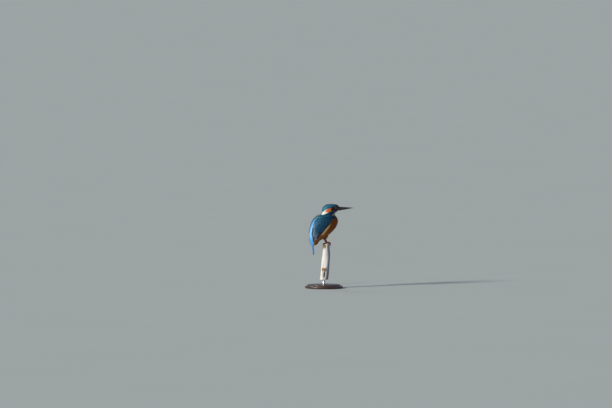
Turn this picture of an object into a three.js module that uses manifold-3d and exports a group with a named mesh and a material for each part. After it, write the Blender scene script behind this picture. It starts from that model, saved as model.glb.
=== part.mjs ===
// A common kingfisher, life size, gripping the cut top of a short upright stick, on a plain display stand.
//
// Millimetres, +Z up. The origin is the centre of the stand's underside. The bill points along +X and the
// bird's right side faces -Y. The bird and its stick are modelled round the centre of the stick's top.

import * as THREE from "three";
import { ParametricGeometry } from "three/addons/geometries/ParametricGeometry.js";
import { mergeVertices } from "three/addons/utils/BufferGeometryUtils.js";
import Module from "manifold-3d";

const wasm = await Module();
wasm.setup();

// ---------------------------------------------------------------------------------------------------------
// Driving dimensions
// ---------------------------------------------------------------------------------------------------------

const GAP = 0.3; // between any two solids that meet

const STAND = { radius: 44, thickness: 9, chamfer: 1.5, rodRadius: 2.6, rodLength: 11 };
const STICK = {
  length: 84,
  lean: 5.6, // how far the top stands forward of the foot
  bend: 2.2, // power of the lean along the stick: it leans most low down
  topRadius: 7.8,
  radius: 9.2,
  topSlope: 0.26, // rise of the cut top towards the front
  topDrop: 1.3, // the cut's middle lies this far under the reference height
  knot: { depth: 60, heading: -126, rise: 2.2, high: 4.6, wide: 3.4 }, // the stub of a side branch
};

// Level sections of the closed plumage, from the crown down to the root of the tail. z is the height over the
// stick's top, back and front are the ends of the section along X, half is its half width, full is the
// superellipse's power and egg widens it towards the front (or, below 0, towards the back).
const SECTIONS = [
  { name: "crown peak", z: 90.3, back: 11.5, front: 11.5, half: 0, full: 2.1, egg: -0.1 },
  { name: "crown", z: 89.0, back: 0.8, front: 23.0, half: 7.8, full: 2.15, egg: -0.12 },
  { name: "forehead", z: 87.0, back: -2.6, front: 27.4, half: 10.6, full: 2.2, egg: -0.16 },
  { name: "brow", z: 83.9, back: -6.6, front: 29.6, half: 12.6, full: 2.25, egg: -0.2 },
  { name: "eyes", z: 79.8, back: -9.3, front: 29.9, half: 13.6, full: 2.25, egg: -0.2 },
  { name: "cheeks", z: 75.8, back: -9.6, front: 29.0, half: 14.4, full: 2.2, egg: -0.2 },
  { name: "chin", z: 71.9, back: -9.8, front: 25.8, half: 14.9, full: 2.15, egg: -0.14 },
  { name: "throat", z: 67.8, back: -11.8, front: 20.8, half: 15.8, full: 2.1, egg: -0.06 },
  { name: "neck", z: 63.8, back: -17.2, front: 20.9, half: 17.2, full: 2.1, egg: 0.0 },
  { name: "shoulders", z: 57.5, back: -25.6, front: 25.8, half: 19.2, full: 2.1, egg: 0.04 },
  { name: "breast", z: 48.0, back: -33.4, front: 27.4, half: 20.3, full: 2.1, egg: 0.06 },
  { name: "belly", z: 35.0, back: -38.2, front: 22.0, half: 19.4, full: 2.05, egg: 0.06 },
  { name: "flanks", z: 23.0, back: -40.4, front: 10.6, half: 16.9, full: 2.0, egg: 0.04 },
  { name: "vent", z: 11.5, back: -40.7, front: -4.6, half: 13.0, full: 2.0, egg: 0.0 },
  { name: "rump", z: 2.4, back: -38.9, front: -18.6, half: 9.8, full: 2.0, egg: 0.0 },
  { name: "tail root", z: -4.4, back: -36.0, front: -25.6, half: 7.4, full: 2.0, egg: 0.0 },
  { name: "tail root end", z: -7.4, back: -31.6, front: -31.6, half: 0, full: 2.0, egg: 0.0 },
];

// The head is turned a little to the bird's right, about an upright line through the neck.
const HEAD = { turn: THREE.MathUtils.degToRad(-15), pivotX: 4.6, from: 59, to: 73 };
const NECK_CUTS = [
  { name: "under the head", x: 5, z: 69.6, tilt: 0.1 },
  { name: "over the shoulders", x: 3, z: 61.4, tilt: 0.12 },
];

const EYE = { radius: 3.7, x: 15.6, y: 10.2, z: 79.9 };
const BILL = {
  rootX: 24.5, // inside the head
  baseX: 29.4, // where the feathers end
  tipX: 63.2,
  baseZ: 78.7, // the closed gape at the feathers
  tipZ: 80.7,
  upperHeight: 4.4,
  lowerHeight: 3.9,
  halfWidth: 4.7,
};

// The closed wing lies over the trunk. Its leading edge is a curve in side view, and its inner edge keeps
// clear of the strip of the back.
const WING = {
  lead: [
    { x: 12.5, z: 61.5 },
    { x: -11.0, z: 30.5 },
    { x: -36.0, z: 3.6 },
  ],
  innerTop: 64.5,
  innerEnd: 3.0,
  strip: { top: 6.6, rump: 9.6, end: 8.6 }, // half the width of the back's bare strip between the wings
  clearance: 0.45, // over the trunk
  edge: 0.75, // thickness beside the edges
  shoulder: 2.5, // more thickness in the middle, at the shoulder
  tip: 1.0, // and at the tip
  cut: { x: -14, z: 29, tilt: -0.42 }, // where the coverts end and the flight feathers begin
};

const TAIL = {
  rootX: -34.2,
  rootZ: 6,
  tipX: -31.2,
  tipZ: -27.6,
  rootHalf: 5.4,
  half: 6.9,
  rootThickness: 2.6,
  tipThickness: 0.9,
  camber: 1.1,
  roundness: 4.2,
};

const LEG = {
  hip: { x: -4.2, y: 6.6, z: 24 },
  ankle: { x: -4.2, y: 5.2, z: 9.4 },
  foot: { x: 1.4, y: 4.3 },
  thighRadius: 5.8,
  ankleRadius: 2.2,
  tarsusRadius: 1.35,
};
const TOES = [
  { name: "hind", heading: 187, length: 7.2, radius: 1.25 },
  { name: "inner", heading: -13, length: 9.0, radius: 1.15 },
  { name: "middle", heading: 6, length: 11.6, radius: 1.3 },
  { name: "outer", heading: 24, length: 10.4, radius: 1.2 },
];
const CLAW = { length: 4.0, radius: 0.78, tipRadius: 0.22, hook: 1.5 };

const COLOURS = {
  blue: { color: 0x1d6e8c, roughness: 0.55, metalness: 0.1 },
  azure: { color: 0x3fb4e6, roughness: 0.5, metalness: 0.1 },
  orange: { color: 0xb5621f, roughness: 0.8, metalness: 0 },
  white: { color: 0xe9dfcd, roughness: 0.8, metalness: 0 },
  horn: { color: 0x1b1b1f, roughness: 0.35, metalness: 0 },
  eye: { color: 0x140d09, roughness: 0.08, metalness: 0 },
  foot: { color: 0xa8321c, roughness: 0.5, metalness: 0 },
  wood: { color: 0xcfc4b4, roughness: 0.85, metalness: 0 },
  base: { color: 0x3a2a20, roughness: 0.45, metalness: 0 },
  steel: { color: 0x9a9a98, roughness: 0.35, metalness: 1 },
};

// ---------------------------------------------------------------------------------------------------------
// Solids and meshes
// ---------------------------------------------------------------------------------------------------------

// A closed geometry as a manifold-3d solid that faces outwards, without its collapsed triangles.
function solidOf(geometry) {
  const bare = new THREE.BufferGeometry().setAttribute("position", geometry.getAttribute("position"));
  bare.setIndex(geometry.index);
  const merged = mergeVertices(bare, 1e-3);
  const triangles = [];
  for (let i = 0; i < merged.index.count; i += 3) {
    const [a, b, c] = [0, 1, 2].map((k) => merged.index.getX(i + k));
    if (a !== b && b !== c && c !== a) triangles.push([a, b, c]);
  }
  const vertProperties = merged.attributes.position.array;
  const build = (faces) =>
    new wasm.Manifold(new wasm.Mesh({ numProp: 3, vertProperties, triVerts: new Uint32Array(faces.flat()) }));
  const made = build(triangles);
  return made.volume() > 0 ? made : build(triangles.map(([a, b, c]) => [a, c, b]));
}

function meshOf(name, solid, look) {
  const found = solid.getMesh();
  const places = new Float32Array(found.numVert * 3);
  for (let i = 0; i < found.numVert; i++) {
    places.set(found.vertProperties.subarray(i * found.numProp, i * found.numProp + 3), i * 3);
  }
  const geometry = new THREE.BufferGeometry().setAttribute("position", new THREE.BufferAttribute(places, 3));
  geometry.setIndex(new THREE.BufferAttribute(found.triVerts, 1));
  const mesh = new THREE.Mesh(geometry, new THREE.MeshStandardMaterial(look));
  mesh.name = name;
  return mesh;
}

// A closed surface round an axis: section(t, angle) gives its points for t from 0 to 1, and it is closed by a
// point at the middle of each end.
function capped(section, rings, sides) {
  const middle = (t) => {
    const sum = new THREE.Vector3();
    for (let k = 0; k < sides; k++) sum.add(section(t, (k / sides) * 2 * Math.PI));
    return sum.divideScalar(sides);
  };
  const ends = [middle(0), middle(1)];
  const place = (u, v, target) => {
    const ring = v * (rings + 2) - 1;
    if (ring < 0) return target.copy(ends[0]);
    if (ring > rings) return target.copy(ends[1]);
    return target.copy(section(ring / rings, (u % 1) * 2 * Math.PI));
  };
  return new ParametricGeometry(place, sides, rings + 2);
}

// A thin closed shell: sheet(s, t, lift) gives a point, with s along and t across it, each from 0 to 1. lift
// is 1 on its outer face, 0 on its inner face and one half on its rim, where the faces meet.
function shell(sheet, along, across) {
  const eased = (x) => (1 - Math.cos(Math.PI * x)) / 2;
  const place = (u, v, target) => {
    const turn = 2 * (u % 1);
    const outer = turn < 1;
    const t = eased(outer ? turn : 2 - turn);
    const rim = v < 1e-6 || v > 1 - 1e-6 || t < 1e-6 || t > 1 - 1e-6;
    return target.copy(sheet(v, t, rim ? 0.5 : outer ? 1 : 0));
  };
  return new ParametricGeometry(place, 2 * across, along);
}

// A round bar along a curve, with radius(t) along it, closed at both ends.
function bar(curve, radius, rings, sides) {
  const frames = curve.computeFrenetFrames(rings, false);
  return capped(
    (t, angle) => {
      const k = Math.round(t * rings);
      return curve
        .getPointAt(t)
        .addScaledVector(frames.normals[k], Math.cos(angle) * radius(t))
        .addScaledVector(frames.binormals[k], Math.sin(angle) * radius(t));
    },
    rings,
    sides,
  );
}

const lerp = THREE.MathUtils.lerp;
const smoothstep = THREE.MathUtils.smoothstep;
const signedPower = (value, power) => Math.sign(value) * Math.abs(value) ** power;

// ---------------------------------------------------------------------------------------------------------
// The body's form
// ---------------------------------------------------------------------------------------------------------

// One measure of the body at t from 0, the crown's peak, to 1, the tail root's end: a uniform Catmull-Rom
// spline through the sections. Beyond a pole the sections go on mirrored, so that the poles are round.
function measure(key, t) {
  const last = SECTIONS.length - 1;
  const at = Math.min(t * last, last - 1e-9);
  const i = Math.floor(at);
  const f = at - i;
  const value = (k) => {
    const inside = k < 0 ? -k : k > last ? 2 * last - k : k;
    const section = SECTIONS[inside];
    if (inside === k) return section[key];
    if (key === "half") return -section.half;
    if (key === "back") return section.front;
    return key === "front" ? section.back : section[key];
  };
  const [a, b, c, d] = [value(i - 1), value(i), value(i + 1), value(i + 2)];
  return b + 0.5 * f * (c - a + f * (2 * a - 5 * b + 4 * c - d + f * (3 * (b - c) + d - a)));
}

// The t of the level section at height z, by halving.
function levelOf(z) {
  let [low, high] = [0, 1];
  for (let k = 0; k < 30; k++) {
    const middle = (low + high) / 2;
    if (measure("z", middle) > z) low = middle;
    else high = middle;
  }
  return (low + high) / 2;
}

// Turns a point about the neck's line by the head's turn, which fades out down the neck.
function turned(point) {
  const angle = HEAD.turn * smoothstep(point.z, HEAD.from, HEAD.to);
  const [x, y] = [point.x - HEAD.pivotX, point.y];
  const [c, s] = [Math.cos(angle), Math.sin(angle)];
  return point.set(HEAD.pivotX + x * c - y * s, x * s + y * c, point.z);
}

// A point of the closed plumage: angle 0 is the front and a quarter turn is the bird's left.
function bodyPoint(t, angle) {
  const power = 2 / measure("full", t);
  const [back, front] = [measure("back", t), measure("front", t)];
  const ahead = signedPower(Math.cos(angle), power);
  const aside = signedPower(Math.sin(angle), power) * (1 + measure("egg", t) * ahead);
  const x = (back + front) / 2 + ((front - back) / 2) * ahead;
  return turned(new THREE.Vector3(x, measure("half", t) * aside, measure("z", t)));
}

// The same point moved out along the surface's normal.
function bodyOffset(t, angle, distance) {
  const step = 1e-3;
  const alongT = bodyPoint(t + step, angle).sub(bodyPoint(t - step, angle));
  const round = bodyPoint(t, angle + step).sub(bodyPoint(t, angle - step));
  return bodyPoint(t, angle).addScaledVector(alongT.cross(round).normalize(), distance);
}

// The angle round the section at t where the body's side reaches the side-view place x.
function angleAtX(t, x) {
  const [back, front] = [measure("back", t), measure("front", t)];
  const share = THREE.MathUtils.clamp((2 * x - back - front) / (front - back), -1, 1);
  return Math.acos(signedPower(share, measure("full", t) / 2));
}

// The angle round the section at t, on the back, where the body is y from its middle plane.
function angleAtY(t, y) {
  const share = Math.min(1, y / measure("half", t));
  return Math.PI - Math.asin(share ** (measure("full", t) / 2));
}

function bodySolid() {
  const place = (u, v, target) => target.copy(bodyPoint(v, (u % 1) * 2 * Math.PI));
  return solidOf(new ParametricGeometry(place, 28, 34));
}

// ---------------------------------------------------------------------------------------------------------
// Parts of the bird. side is -1 for the right and 1 for the left.
// ---------------------------------------------------------------------------------------------------------

const headPose = new THREE.Matrix4()
  .makeTranslation(HEAD.pivotX, 0, 0)
  .multiply(new THREE.Matrix4().makeRotationZ(HEAD.turn))
  .multiply(new THREE.Matrix4().makeTranslation(-HEAD.pivotX, 0, 0));

function eyeball(side, grow = 0) {
  const ball = new THREE.SphereGeometry(EYE.radius + grow, 14, 9);
  ball.translate(EYE.x, side * EYE.y, EYE.z);
  return solidOf(ball.applyMatrix4(headPose));
}

// Half of the closed bill. It tapers straight to the tip, with the ridge of the upper half bent down a little
// at its end. rise is 1 for the upper half and -1 for the lower.
function billHalf(rise, grow = 0) {
  const height = rise > 0 ? BILL.upperHeight : BILL.lowerHeight;
  const section = (t, angle) => {
    const x = lerp(BILL.rootX, BILL.tipX, t) + (t === 0 ? -grow : t === 1 ? grow : 0);
    const share = THREE.MathUtils.clamp((BILL.tipX - x) / (BILL.tipX - BILL.baseX), 0.02, 1.1);
    const gape = lerp(BILL.tipZ, BILL.baseZ, share);
    const deep = height * share ** (rise > 0 ? 0.86 : 0.94) + 0.25 + 2 * grow;
    const wide = BILL.halfWidth * share ** 1.12 + 0.3 + grow;
    const up = Math.max(0, Math.sin(angle));
    const flank = signedPower(Math.cos(angle), 0.9);
    const level = GAP / 2 - grow + deep * up ** 0.95;
    return new THREE.Vector3(x, flank * wide, gape + rise * level);
  };
  return solidOf(capped(section, 9, 12).applyMatrix4(headPose));
}

// The closed wing. s runs from the shoulder to the tip, and t from the leading edge to the inner edge.
function wing(side) {
  const lead = new THREE.QuadraticBezierCurve3(...WING.lead.map((p) => new THREE.Vector3(p.x, 0, p.z)));
  const sheet = (s, t, lift) => {
    const front = lead.getPoint(s);
    const frontLevel = levelOf(front.z);
    const innerZ = lerp(WING.innerTop, WING.innerEnd, s);
    const innerLevel = levelOf(innerZ);
    const { top, rump, end } = WING.strip;
    const strip = s < 0.7 ? lerp(top, rump, s / 0.7) : lerp(rump, end, (s - 0.7) / 0.3);
    const level = levelOf(lerp(front.z, innerZ, t));
    const angle = lerp(angleAtX(frontLevel, front.x), angleAtY(innerLevel, strip), t);
    const rounded = smoothstep(s, -0.02, 0.12) * Math.sin(Math.PI * t) ** 0.6;
    const thickness = WING.edge + lerp(WING.shoulder, WING.tip, s) * rounded;
    return bodyOffset(level, side * angle, WING.clearance + thickness * lift);
  };
  return solidOf(shell(sheet, 16, 8));
}

// The closed tail: a slightly arched blade with a rounded end. grow makes the slot for it, which is wider
// still, as the blade's edges are sharp.
function tail(grow = 0) {
  const sheet = (s, t, lift) => {
    const across = 2 * t - 1;
    const y = across * (lerp(TAIL.rootHalf, TAIL.half, smoothstep(s, 0, 0.7)) + 3 * grow);
    const z = lerp(TAIL.rootZ + grow, TAIL.tipZ + TAIL.roundness * across ** 2 - grow, s);
    const middle = lerp(TAIL.rootX, TAIL.tipX, (TAIL.rootZ - z) / (TAIL.rootZ - TAIL.tipZ));
    const thickness = lerp(TAIL.rootThickness, TAIL.tipThickness, s) + 2 * grow;
    return new THREE.Vector3(middle + TAIL.camber * (y / TAIL.half) ** 2 - thickness * (lift - 0.5), y, z);
  };
  return solidOf(shell(sheet, 8, 5));
}

// The feathered upper leg, from inside the belly to the ankle.
function thigh(side, grow = 0) {
  const hip = new THREE.Vector3(LEG.hip.x, side * LEG.hip.y, LEG.hip.z);
  const ankle = new THREE.Vector3(LEG.ankle.x, side * LEG.ankle.y, LEG.ankle.z);
  const knee = hip.clone().lerp(ankle, 0.45).add(new THREE.Vector3(2.8, side * 0.4, 0));
  const line = new THREE.CatmullRomCurve3([hip, knee, ankle]);
  return solidOf(bar(line, (t) => lerp(LEG.thighRadius, LEG.ankleRadius, t ** 1.2) + grow, 6, 10));
}

const stickTopHeight = (x) => STICK.topSlope * x - STICK.topDrop;

function footCentre(side) {
  return new THREE.Vector3(LEG.foot.x, side * LEG.foot.y, stickTopHeight(LEG.foot.x) + 2.1);
}

function tarsus(side) {
  const ankle = new THREE.Vector3(LEG.ankle.x, side * LEG.ankle.y, LEG.ankle.z);
  const line = new THREE.LineCurve3(ankle, footCentre(side));
  const knobbed = (t) => LEG.tarsusRadius * (1 + 0.25 * (2 * t - 1) ** 4);
  return solidOf(bar(line, knobbed, 4, 8));
}

// The middle line of a toe: over the slanted top of the stick, then down over its rim.
function toeLine(toe, side) {
  const heading = THREE.MathUtils.degToRad(toe.heading) * side;
  const start = footCentre(side);
  const ahead = new THREE.Vector3(Math.cos(heading), Math.sin(heading), 0);
  const out = start.x * ahead.x + start.y * ahead.y;
  const rim = -out + Math.sqrt(out ** 2 + STICK.topRadius ** 2 - start.x ** 2 - start.y ** 2);
  const onTop = (distance) => {
    const place = start.clone().addScaledVector(ahead, distance);
    return place.setZ(stickTopHeight(place.x) + toe.radius);
  };
  const flat = Math.min(toe.length, rim - 0.3);
  const points = [start, onTop(flat * 0.45), onTop(flat)];
  const left = toe.length - flat;
  if (left > 0.5) {
    const bend = onTop(rim + toe.radius * 1.1);
    points.push(bend.setZ(bend.z - left * 0.35));
    const end = onTop(rim + toe.radius * 1.6);
    points.push(end.setZ(end.z - left * 0.85));
  }
  return new THREE.CatmullRomCurve3(points);
}

function toe(spec, side, grow = 0) {
  const pads = (t) => spec.radius * (1.08 - 0.3 * t + 0.07 * Math.sin(t * 3 * Math.PI)) + grow;
  return solidOf(bar(toeLine(spec, side), pads, 6, 6));
}

// A hooked cone that goes on from the toe's end and bends in towards the stick.
function claw(spec, side, grow = 0) {
  const line = toeLine(spec, side);
  const tip = line.getPointAt(1);
  const ahead = line.getTangentAt(1);
  const down = new THREE.Vector3(0, 0, -1);
  const inward = spec.name === "hind" ? down : new THREE.Vector3(-tip.x, -tip.y, 0).normalize();
  const bent = (distance, hook) => tip.clone().addScaledVector(ahead, distance).addScaledVector(inward, hook);
  const curve = new THREE.CatmullRomCurve3([
    bent(-0.9, -0.1),
    bent(CLAW.length * 0.45, -0.35),
    bent(CLAW.length * 0.9, CLAW.hook * 0.55),
  ]);
  return solidOf(bar(curve, (t) => lerp(CLAW.radius, CLAW.tipRadius, t ** 0.8) + grow, 4, 6));
}

const union = (solids) => solids.reduce((sum, next) => sum.add(next));

// The separate bodies of a solid, from the highest down, without its slivers.
function bodies(solid) {
  const top = (body) => body.boundingBox().max[2];
  return solid
    .decompose()
    .filter((body) => body.volume() > 1)
    .sort((a, b) => top(b) - top(a));
}

// ---------------------------------------------------------------------------------------------------------
// The stick and the stand
// ---------------------------------------------------------------------------------------------------------

// A weathered stick, cut on a slant, with the stub of a side branch on its right side, low down.
function stick() {
  const section = (t, angle) => {
    const depth = t * STICK.length;
    const swell = lerp(STICK.topRadius, STICK.radius, smoothstep(depth, 6, 28));
    const lumps = 0.25 * Math.sin(3 * angle + depth / 9) + 0.2 * Math.sin(2 * angle - depth / 15);
    const aside = angle - THREE.MathUtils.degToRad(STICK.knot.heading);
    const round = Math.atan2(Math.sin(aside), Math.cos(aside)) * STICK.radius;
    const away = ((depth - STICK.knot.depth) / STICK.knot.high) ** 2 + (round / STICK.knot.wide) ** 2;
    const radius = swell + lumps + STICK.knot.rise * Math.exp(-(away ** 1.5));
    const x = radius * Math.cos(angle);
    const slant = stickTopHeight(x) * Math.max(0, 1 - depth / 14);
    return new THREE.Vector3(x - STICK.lean * t ** STICK.bend, radius * Math.sin(angle), slant - depth);
  };
  return solidOf(capped(section, 15, 18));
}

function standBase() {
  const { radius, thickness, chamfer } = STAND;
  const profile = [
    [0, 0],
    [radius - 0.6, 0],
    [radius, 0.6],
    [radius, thickness - chamfer],
    [radius - chamfer, thickness],
    [0, thickness],
  ].map(([r, z]) => new THREE.Vector2(r, z));
  return solidOf(new THREE.LatheGeometry(profile, 40).rotateX(Math.PI / 2));
}

function standRod() {
  const rod = new THREE.CylinderGeometry(STAND.rodRadius, STAND.rodRadius, STAND.rodLength - 2 * GAP, 24);
  rod.rotateX(Math.PI / 2);
  return solidOf(rod.translate(0, 0, STAND.thickness + STAND.rodLength / 2));
}

// ---------------------------------------------------------------------------------------------------------
// Assembly
// ---------------------------------------------------------------------------------------------------------

// A thin tilted slab that parts whatever it is taken from.
function cutter({ x, z, tilt }) {
  const slab = new THREE.BoxGeometry(160, 160, GAP);
  return solidOf(slab.rotateY(-tilt).translate(x, 0, z));
}

const SIDES = { right: -1, left: 1 };
const bird = new THREE.Group();
const bothSides = Object.values(SIDES);

// Head, neck and trunk are one body, parted by the neck cuts, with room for all that is set into them.
const sockets = union([
  ...bothSides.map((side) => eyeball(side, GAP)),
  billHalf(1, GAP),
  billHalf(-1, GAP),
  tail(GAP),
  ...bothSides.map((side) => thigh(side, GAP)),
]);
const socketed = bodySolid().subtract(sockets);
const flesh = bodies(NECK_CUTS.reduce((body, cut) => body.subtract(cutter(cut)), socketed));
["head", "neck", "trunk"].forEach((name, i) => {
  bird.add(meshOf(name, flesh[i], [COLOURS.blue, COLOURS.white, COLOURS.orange][i]));
});

bird.add(meshOf("bill_upper", billHalf(1), COLOURS.horn));
bird.add(meshOf("bill_lower", billHalf(-1), COLOURS.horn));
bird.add(meshOf("tail", tail(), COLOURS.azure));

let stickSolid = stick();
for (const [name, side] of Object.entries(SIDES)) {
  bird.add(meshOf(`eye_${name}`, eyeball(side), COLOURS.eye));

  const [coverts, flight] = bodies(wing(side).subtract(cutter(WING.cut)));
  bird.add(meshOf(`wing_coverts_${name}`, coverts, COLOURS.blue));
  bird.add(meshOf(`wing_flight_${name}`, flight, COLOURS.blue));

  const ankleRoom = thigh(side, GAP);
  const foot = union(TOES.map((spec) => toe(spec, side)));
  const footRoom = union(TOES.map((spec) => toe(spec, side, GAP)));
  const claws = TOES.map((spec) => claw(spec, side));
  bird.add(meshOf(`thigh_${name}`, thigh(side), COLOURS.orange));
  const [shank] = bodies(tarsus(side).subtract(ankleRoom).subtract(footRoom));
  bird.add(meshOf(`tarsus_${name}`, shank, COLOURS.foot));
  bird.add(meshOf(`foot_${name}`, foot, COLOURS.foot));
  TOES.forEach((spec, i) => {
    bird.add(meshOf(`claw_${spec.name}_${name}`, claws[i].subtract(footRoom), COLOURS.horn));
    stickSolid = stickSolid.subtract(claw(spec, side, GAP));
  });
  stickSolid = stickSolid.subtract(footRoom);
}
bird.add(meshOf("perch", stickSolid, COLOURS.wood));

const model = new THREE.Group();
bird.position.set(STICK.lean, 0, STAND.thickness + STAND.rodLength + STICK.length);
model.add(bird);
model.add(meshOf("stand_base", standBase(), COLOURS.base));
model.add(meshOf("stand_rod", standRod(), COLOURS.steel));

export default model;
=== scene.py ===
"""A common kingfisher, life size, gripping the cut top of a short stick on a plain display stand.

Shapes are worked out in millimetres from the middle of the stick's top, with the bill along +X and the bird's
right side towards -Y, and are put into the frame's metres when a mesh is made. The body is one closed form of
two parameters: t runs down it, from 0 at the crown to 1 at the tail's root, and an angle runs round it, from
0 at the front to a quarter turn at the bird's left. The skin lies inside that form, under a coat of feathers.
"""

import logging
import math
from dataclasses import astuple, dataclass, field, replace
from enum import Enum
from functools import cached_property
from typing import Callable, Sequence

import bpy
import numpy as np
from mathutils import Matrix, Vector


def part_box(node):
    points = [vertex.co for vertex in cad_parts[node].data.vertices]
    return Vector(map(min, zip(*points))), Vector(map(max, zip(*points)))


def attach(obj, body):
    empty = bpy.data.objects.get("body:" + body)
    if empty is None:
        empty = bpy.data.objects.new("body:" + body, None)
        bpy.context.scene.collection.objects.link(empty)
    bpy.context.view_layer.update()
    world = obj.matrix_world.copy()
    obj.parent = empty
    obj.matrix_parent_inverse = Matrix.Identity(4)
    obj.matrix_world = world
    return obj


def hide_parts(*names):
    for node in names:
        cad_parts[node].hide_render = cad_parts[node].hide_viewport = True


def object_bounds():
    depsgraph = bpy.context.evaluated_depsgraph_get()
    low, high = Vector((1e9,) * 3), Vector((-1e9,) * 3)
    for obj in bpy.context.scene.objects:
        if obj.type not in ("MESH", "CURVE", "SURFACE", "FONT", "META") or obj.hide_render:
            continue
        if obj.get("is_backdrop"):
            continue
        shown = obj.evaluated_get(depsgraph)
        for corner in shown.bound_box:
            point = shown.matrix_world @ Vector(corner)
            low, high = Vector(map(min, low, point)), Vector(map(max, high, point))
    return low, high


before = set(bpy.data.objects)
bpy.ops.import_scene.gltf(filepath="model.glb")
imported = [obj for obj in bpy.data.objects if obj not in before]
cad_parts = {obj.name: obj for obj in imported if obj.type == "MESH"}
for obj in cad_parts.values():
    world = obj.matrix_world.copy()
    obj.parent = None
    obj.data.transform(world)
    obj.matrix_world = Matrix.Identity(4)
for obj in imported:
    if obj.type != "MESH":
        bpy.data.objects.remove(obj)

LOG = logging.getLogger("kingfisher")
MM = 0.001
GOLDEN = (0.7548776662466927, 0.5698402909980532)  # steps of the evenest spread of points over a square
Array = np.ndarray
Socket = bpy.types.NodeSocket
Colour = tuple[float, float, float]
Place = tuple[float, float, float]
Pair = tuple[float, float]


# Sums on whole arrays


def mix(low: Array, high: Array, share: Array) -> Array:
    """Low plus its share of the way to high; a colour may be given as a tuple."""
    low, high = np.asarray(low, float), np.asarray(high, float)
    return low + (high - low) * share


def fade(value: Array, low: float, high: float) -> Array:
    """0 below low and 1 above high, with the smooth cubic 3 s squared minus 2 s cubed between."""
    share = np.clip((value - low) / (high - low), 0.0, 1.0)
    return share * share * (3.0 - 2.0 * share)


def hill(value: Array, centre: float, width: float) -> Array:
    """A bell curve of height 1, exp of minus the square of the distance over the width."""
    return np.exp(-(((value - centre) / width) ** 2))


def packed(*parts: Array | float) -> Array:
    """Coordinates put together along a new last axis, each spread over the others' shape."""
    return np.stack(np.broadcast_arrays(*parts), -1)


def lattice(*edges: Array) -> list[Array]:
    """The coordinates of a grid's points, one array for each of its axes."""
    return np.meshgrid(*edges, indexing="ij")


def turns(count: int) -> Array:
    """That many angles, evenly spread over a full turn."""
    return np.linspace(0.0, 2 * np.pi, count, endpoint=False)


def unit(vectors: Array) -> Array:
    """Each vector over its own length."""
    return vectors / np.maximum(np.linalg.norm(vectors, axis=-1, keepdims=True), 1e-12)


def signed_power(value: Array, power: Array) -> Array:
    """The size of the value to a power, with the value's sign."""
    return np.sign(value) * np.abs(value) ** power


def across(vectors: Array, normals: Array) -> Array:
    """What is left of each vector when its part along the normal is taken away, as a unit vector."""
    return unit(vectors - normals * np.sum(vectors * normals, axis=-1, keepdims=True))


def spline(points: Sequence[Sequence[float]], count: int) -> Array:
    """A smooth curve through a few points: cubic Hermite pieces with their neighbours' mean slope.

    Args:
        points: The places that it goes through, in order.
        count: How many places to return, evenly spread between the points by the chords' lengths.

    Returns:
        The places along the curve, (count, 3).
    """
    knots = np.asarray(points, float)
    reach = np.concatenate([[0.0], np.cumsum(np.linalg.norm(np.diff(knots, axis=0), axis=1))])
    slopes = np.gradient(knots, reach, axis=0)
    at = np.linspace(0.0, reach[-1], count)
    k = np.clip(np.searchsorted(reach, at, side="right") - 1, 0, len(knots) - 2)
    span = (reach[k + 1] - reach[k])[:, None]
    f = (at - reach[k])[:, None] / span
    start, end = knots[k], knots[k + 1]
    rise = start * (1 + 2 * f) * (1 - f) ** 2 + end * f**2 * (3 - 2 * f)
    return rise + span * (slopes[k] * f * (1 - f) ** 2 - slopes[k + 1] * f**2 * (1 - f))


# Meshes


@dataclass
class Shape:
    """A mesh before it is Blender's: places in millimetres, faces and what each vertex carries."""

    places: Array
    faces: list[Array]
    layers: dict[str, Array] = field(default_factory=dict)
    maps: dict[str, Array] = field(default_factory=dict)
    normals: Array | None = None  # the faces' corners' own, where smooth shading shouldn't find them

    @staticmethod
    def joined(shapes: Sequence["Shape"]) -> "Shape":
        """Several shapes as one.

        Args:
            shapes: What to join, all with the layers and maps of the first.

        Returns:
            The one shape.
        """
        starts = np.cumsum([0] + [len(s.places) for s in shapes])
        return Shape(
            np.concatenate([s.places for s in shapes]),
            [f + start for s, start in zip(shapes, starts) for f in s.faces],
            {k: np.concatenate([s.layers[k] for s in shapes]) for k in shapes[0].layers},
            {k: np.concatenate([s.maps[k] for s in shapes]) for k in shapes[0].maps},
            None if shapes[0].normals is None else np.concatenate([s.normals for s in shapes]),
        )


def tube(rings: Array, cap: float = 0.0) -> Shape:
    """A closed surface from rings of places, with a pole in the middle of each end.

    Args:
        rings: Places, (rings, sides, 3). The rings go one way and the sides turn round that way's axis.
        cap: How far each pole stands out from its end ring, along the line of the rings' middles.

    Returns:
        The closed shape, with outward faces.
    """
    count, sides = rings.shape[:2]
    middles = rings.mean(axis=1)
    start = middles[0] + cap * unit(middles[0] - middles[1])
    end = middles[-1] + cap * unit(middles[-1] - middles[-2])
    grid = np.arange(count * sides).reshape(count, sides)
    quads = cells(np.pad(grid, ((0, 0), (0, 1)), mode="wrap"))[:, [0, 3, 2, 1]]
    first = packed(grid.size, np.roll(grid[0], -1), grid[0])
    last = packed(grid.size + 1, grid[-1], np.roll(grid[-1], -1))
    places = np.concatenate([rings.reshape(-1, 3), start[None], end[None]])
    return outward(places, [quads, np.concatenate([first, last])])


def cells(grid: Array) -> Array:
    """The quads of a grid of vertex numbers, each from its corner down the column and so round."""
    return packed(grid[:-1, :-1], grid[1:, :-1], grid[1:, 1:], grid[:-1, 1:]).reshape(-1, 4)


def outward(places: Array, faces: list[Array]) -> Shape:
    """The closed shape of these faces, which are turned round where its volume comes out below 0."""
    shape = Shape(places, faces)
    return shape if volume(shape) > 0 else Shape(places, [f[:, ::-1] for f in faces])


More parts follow.
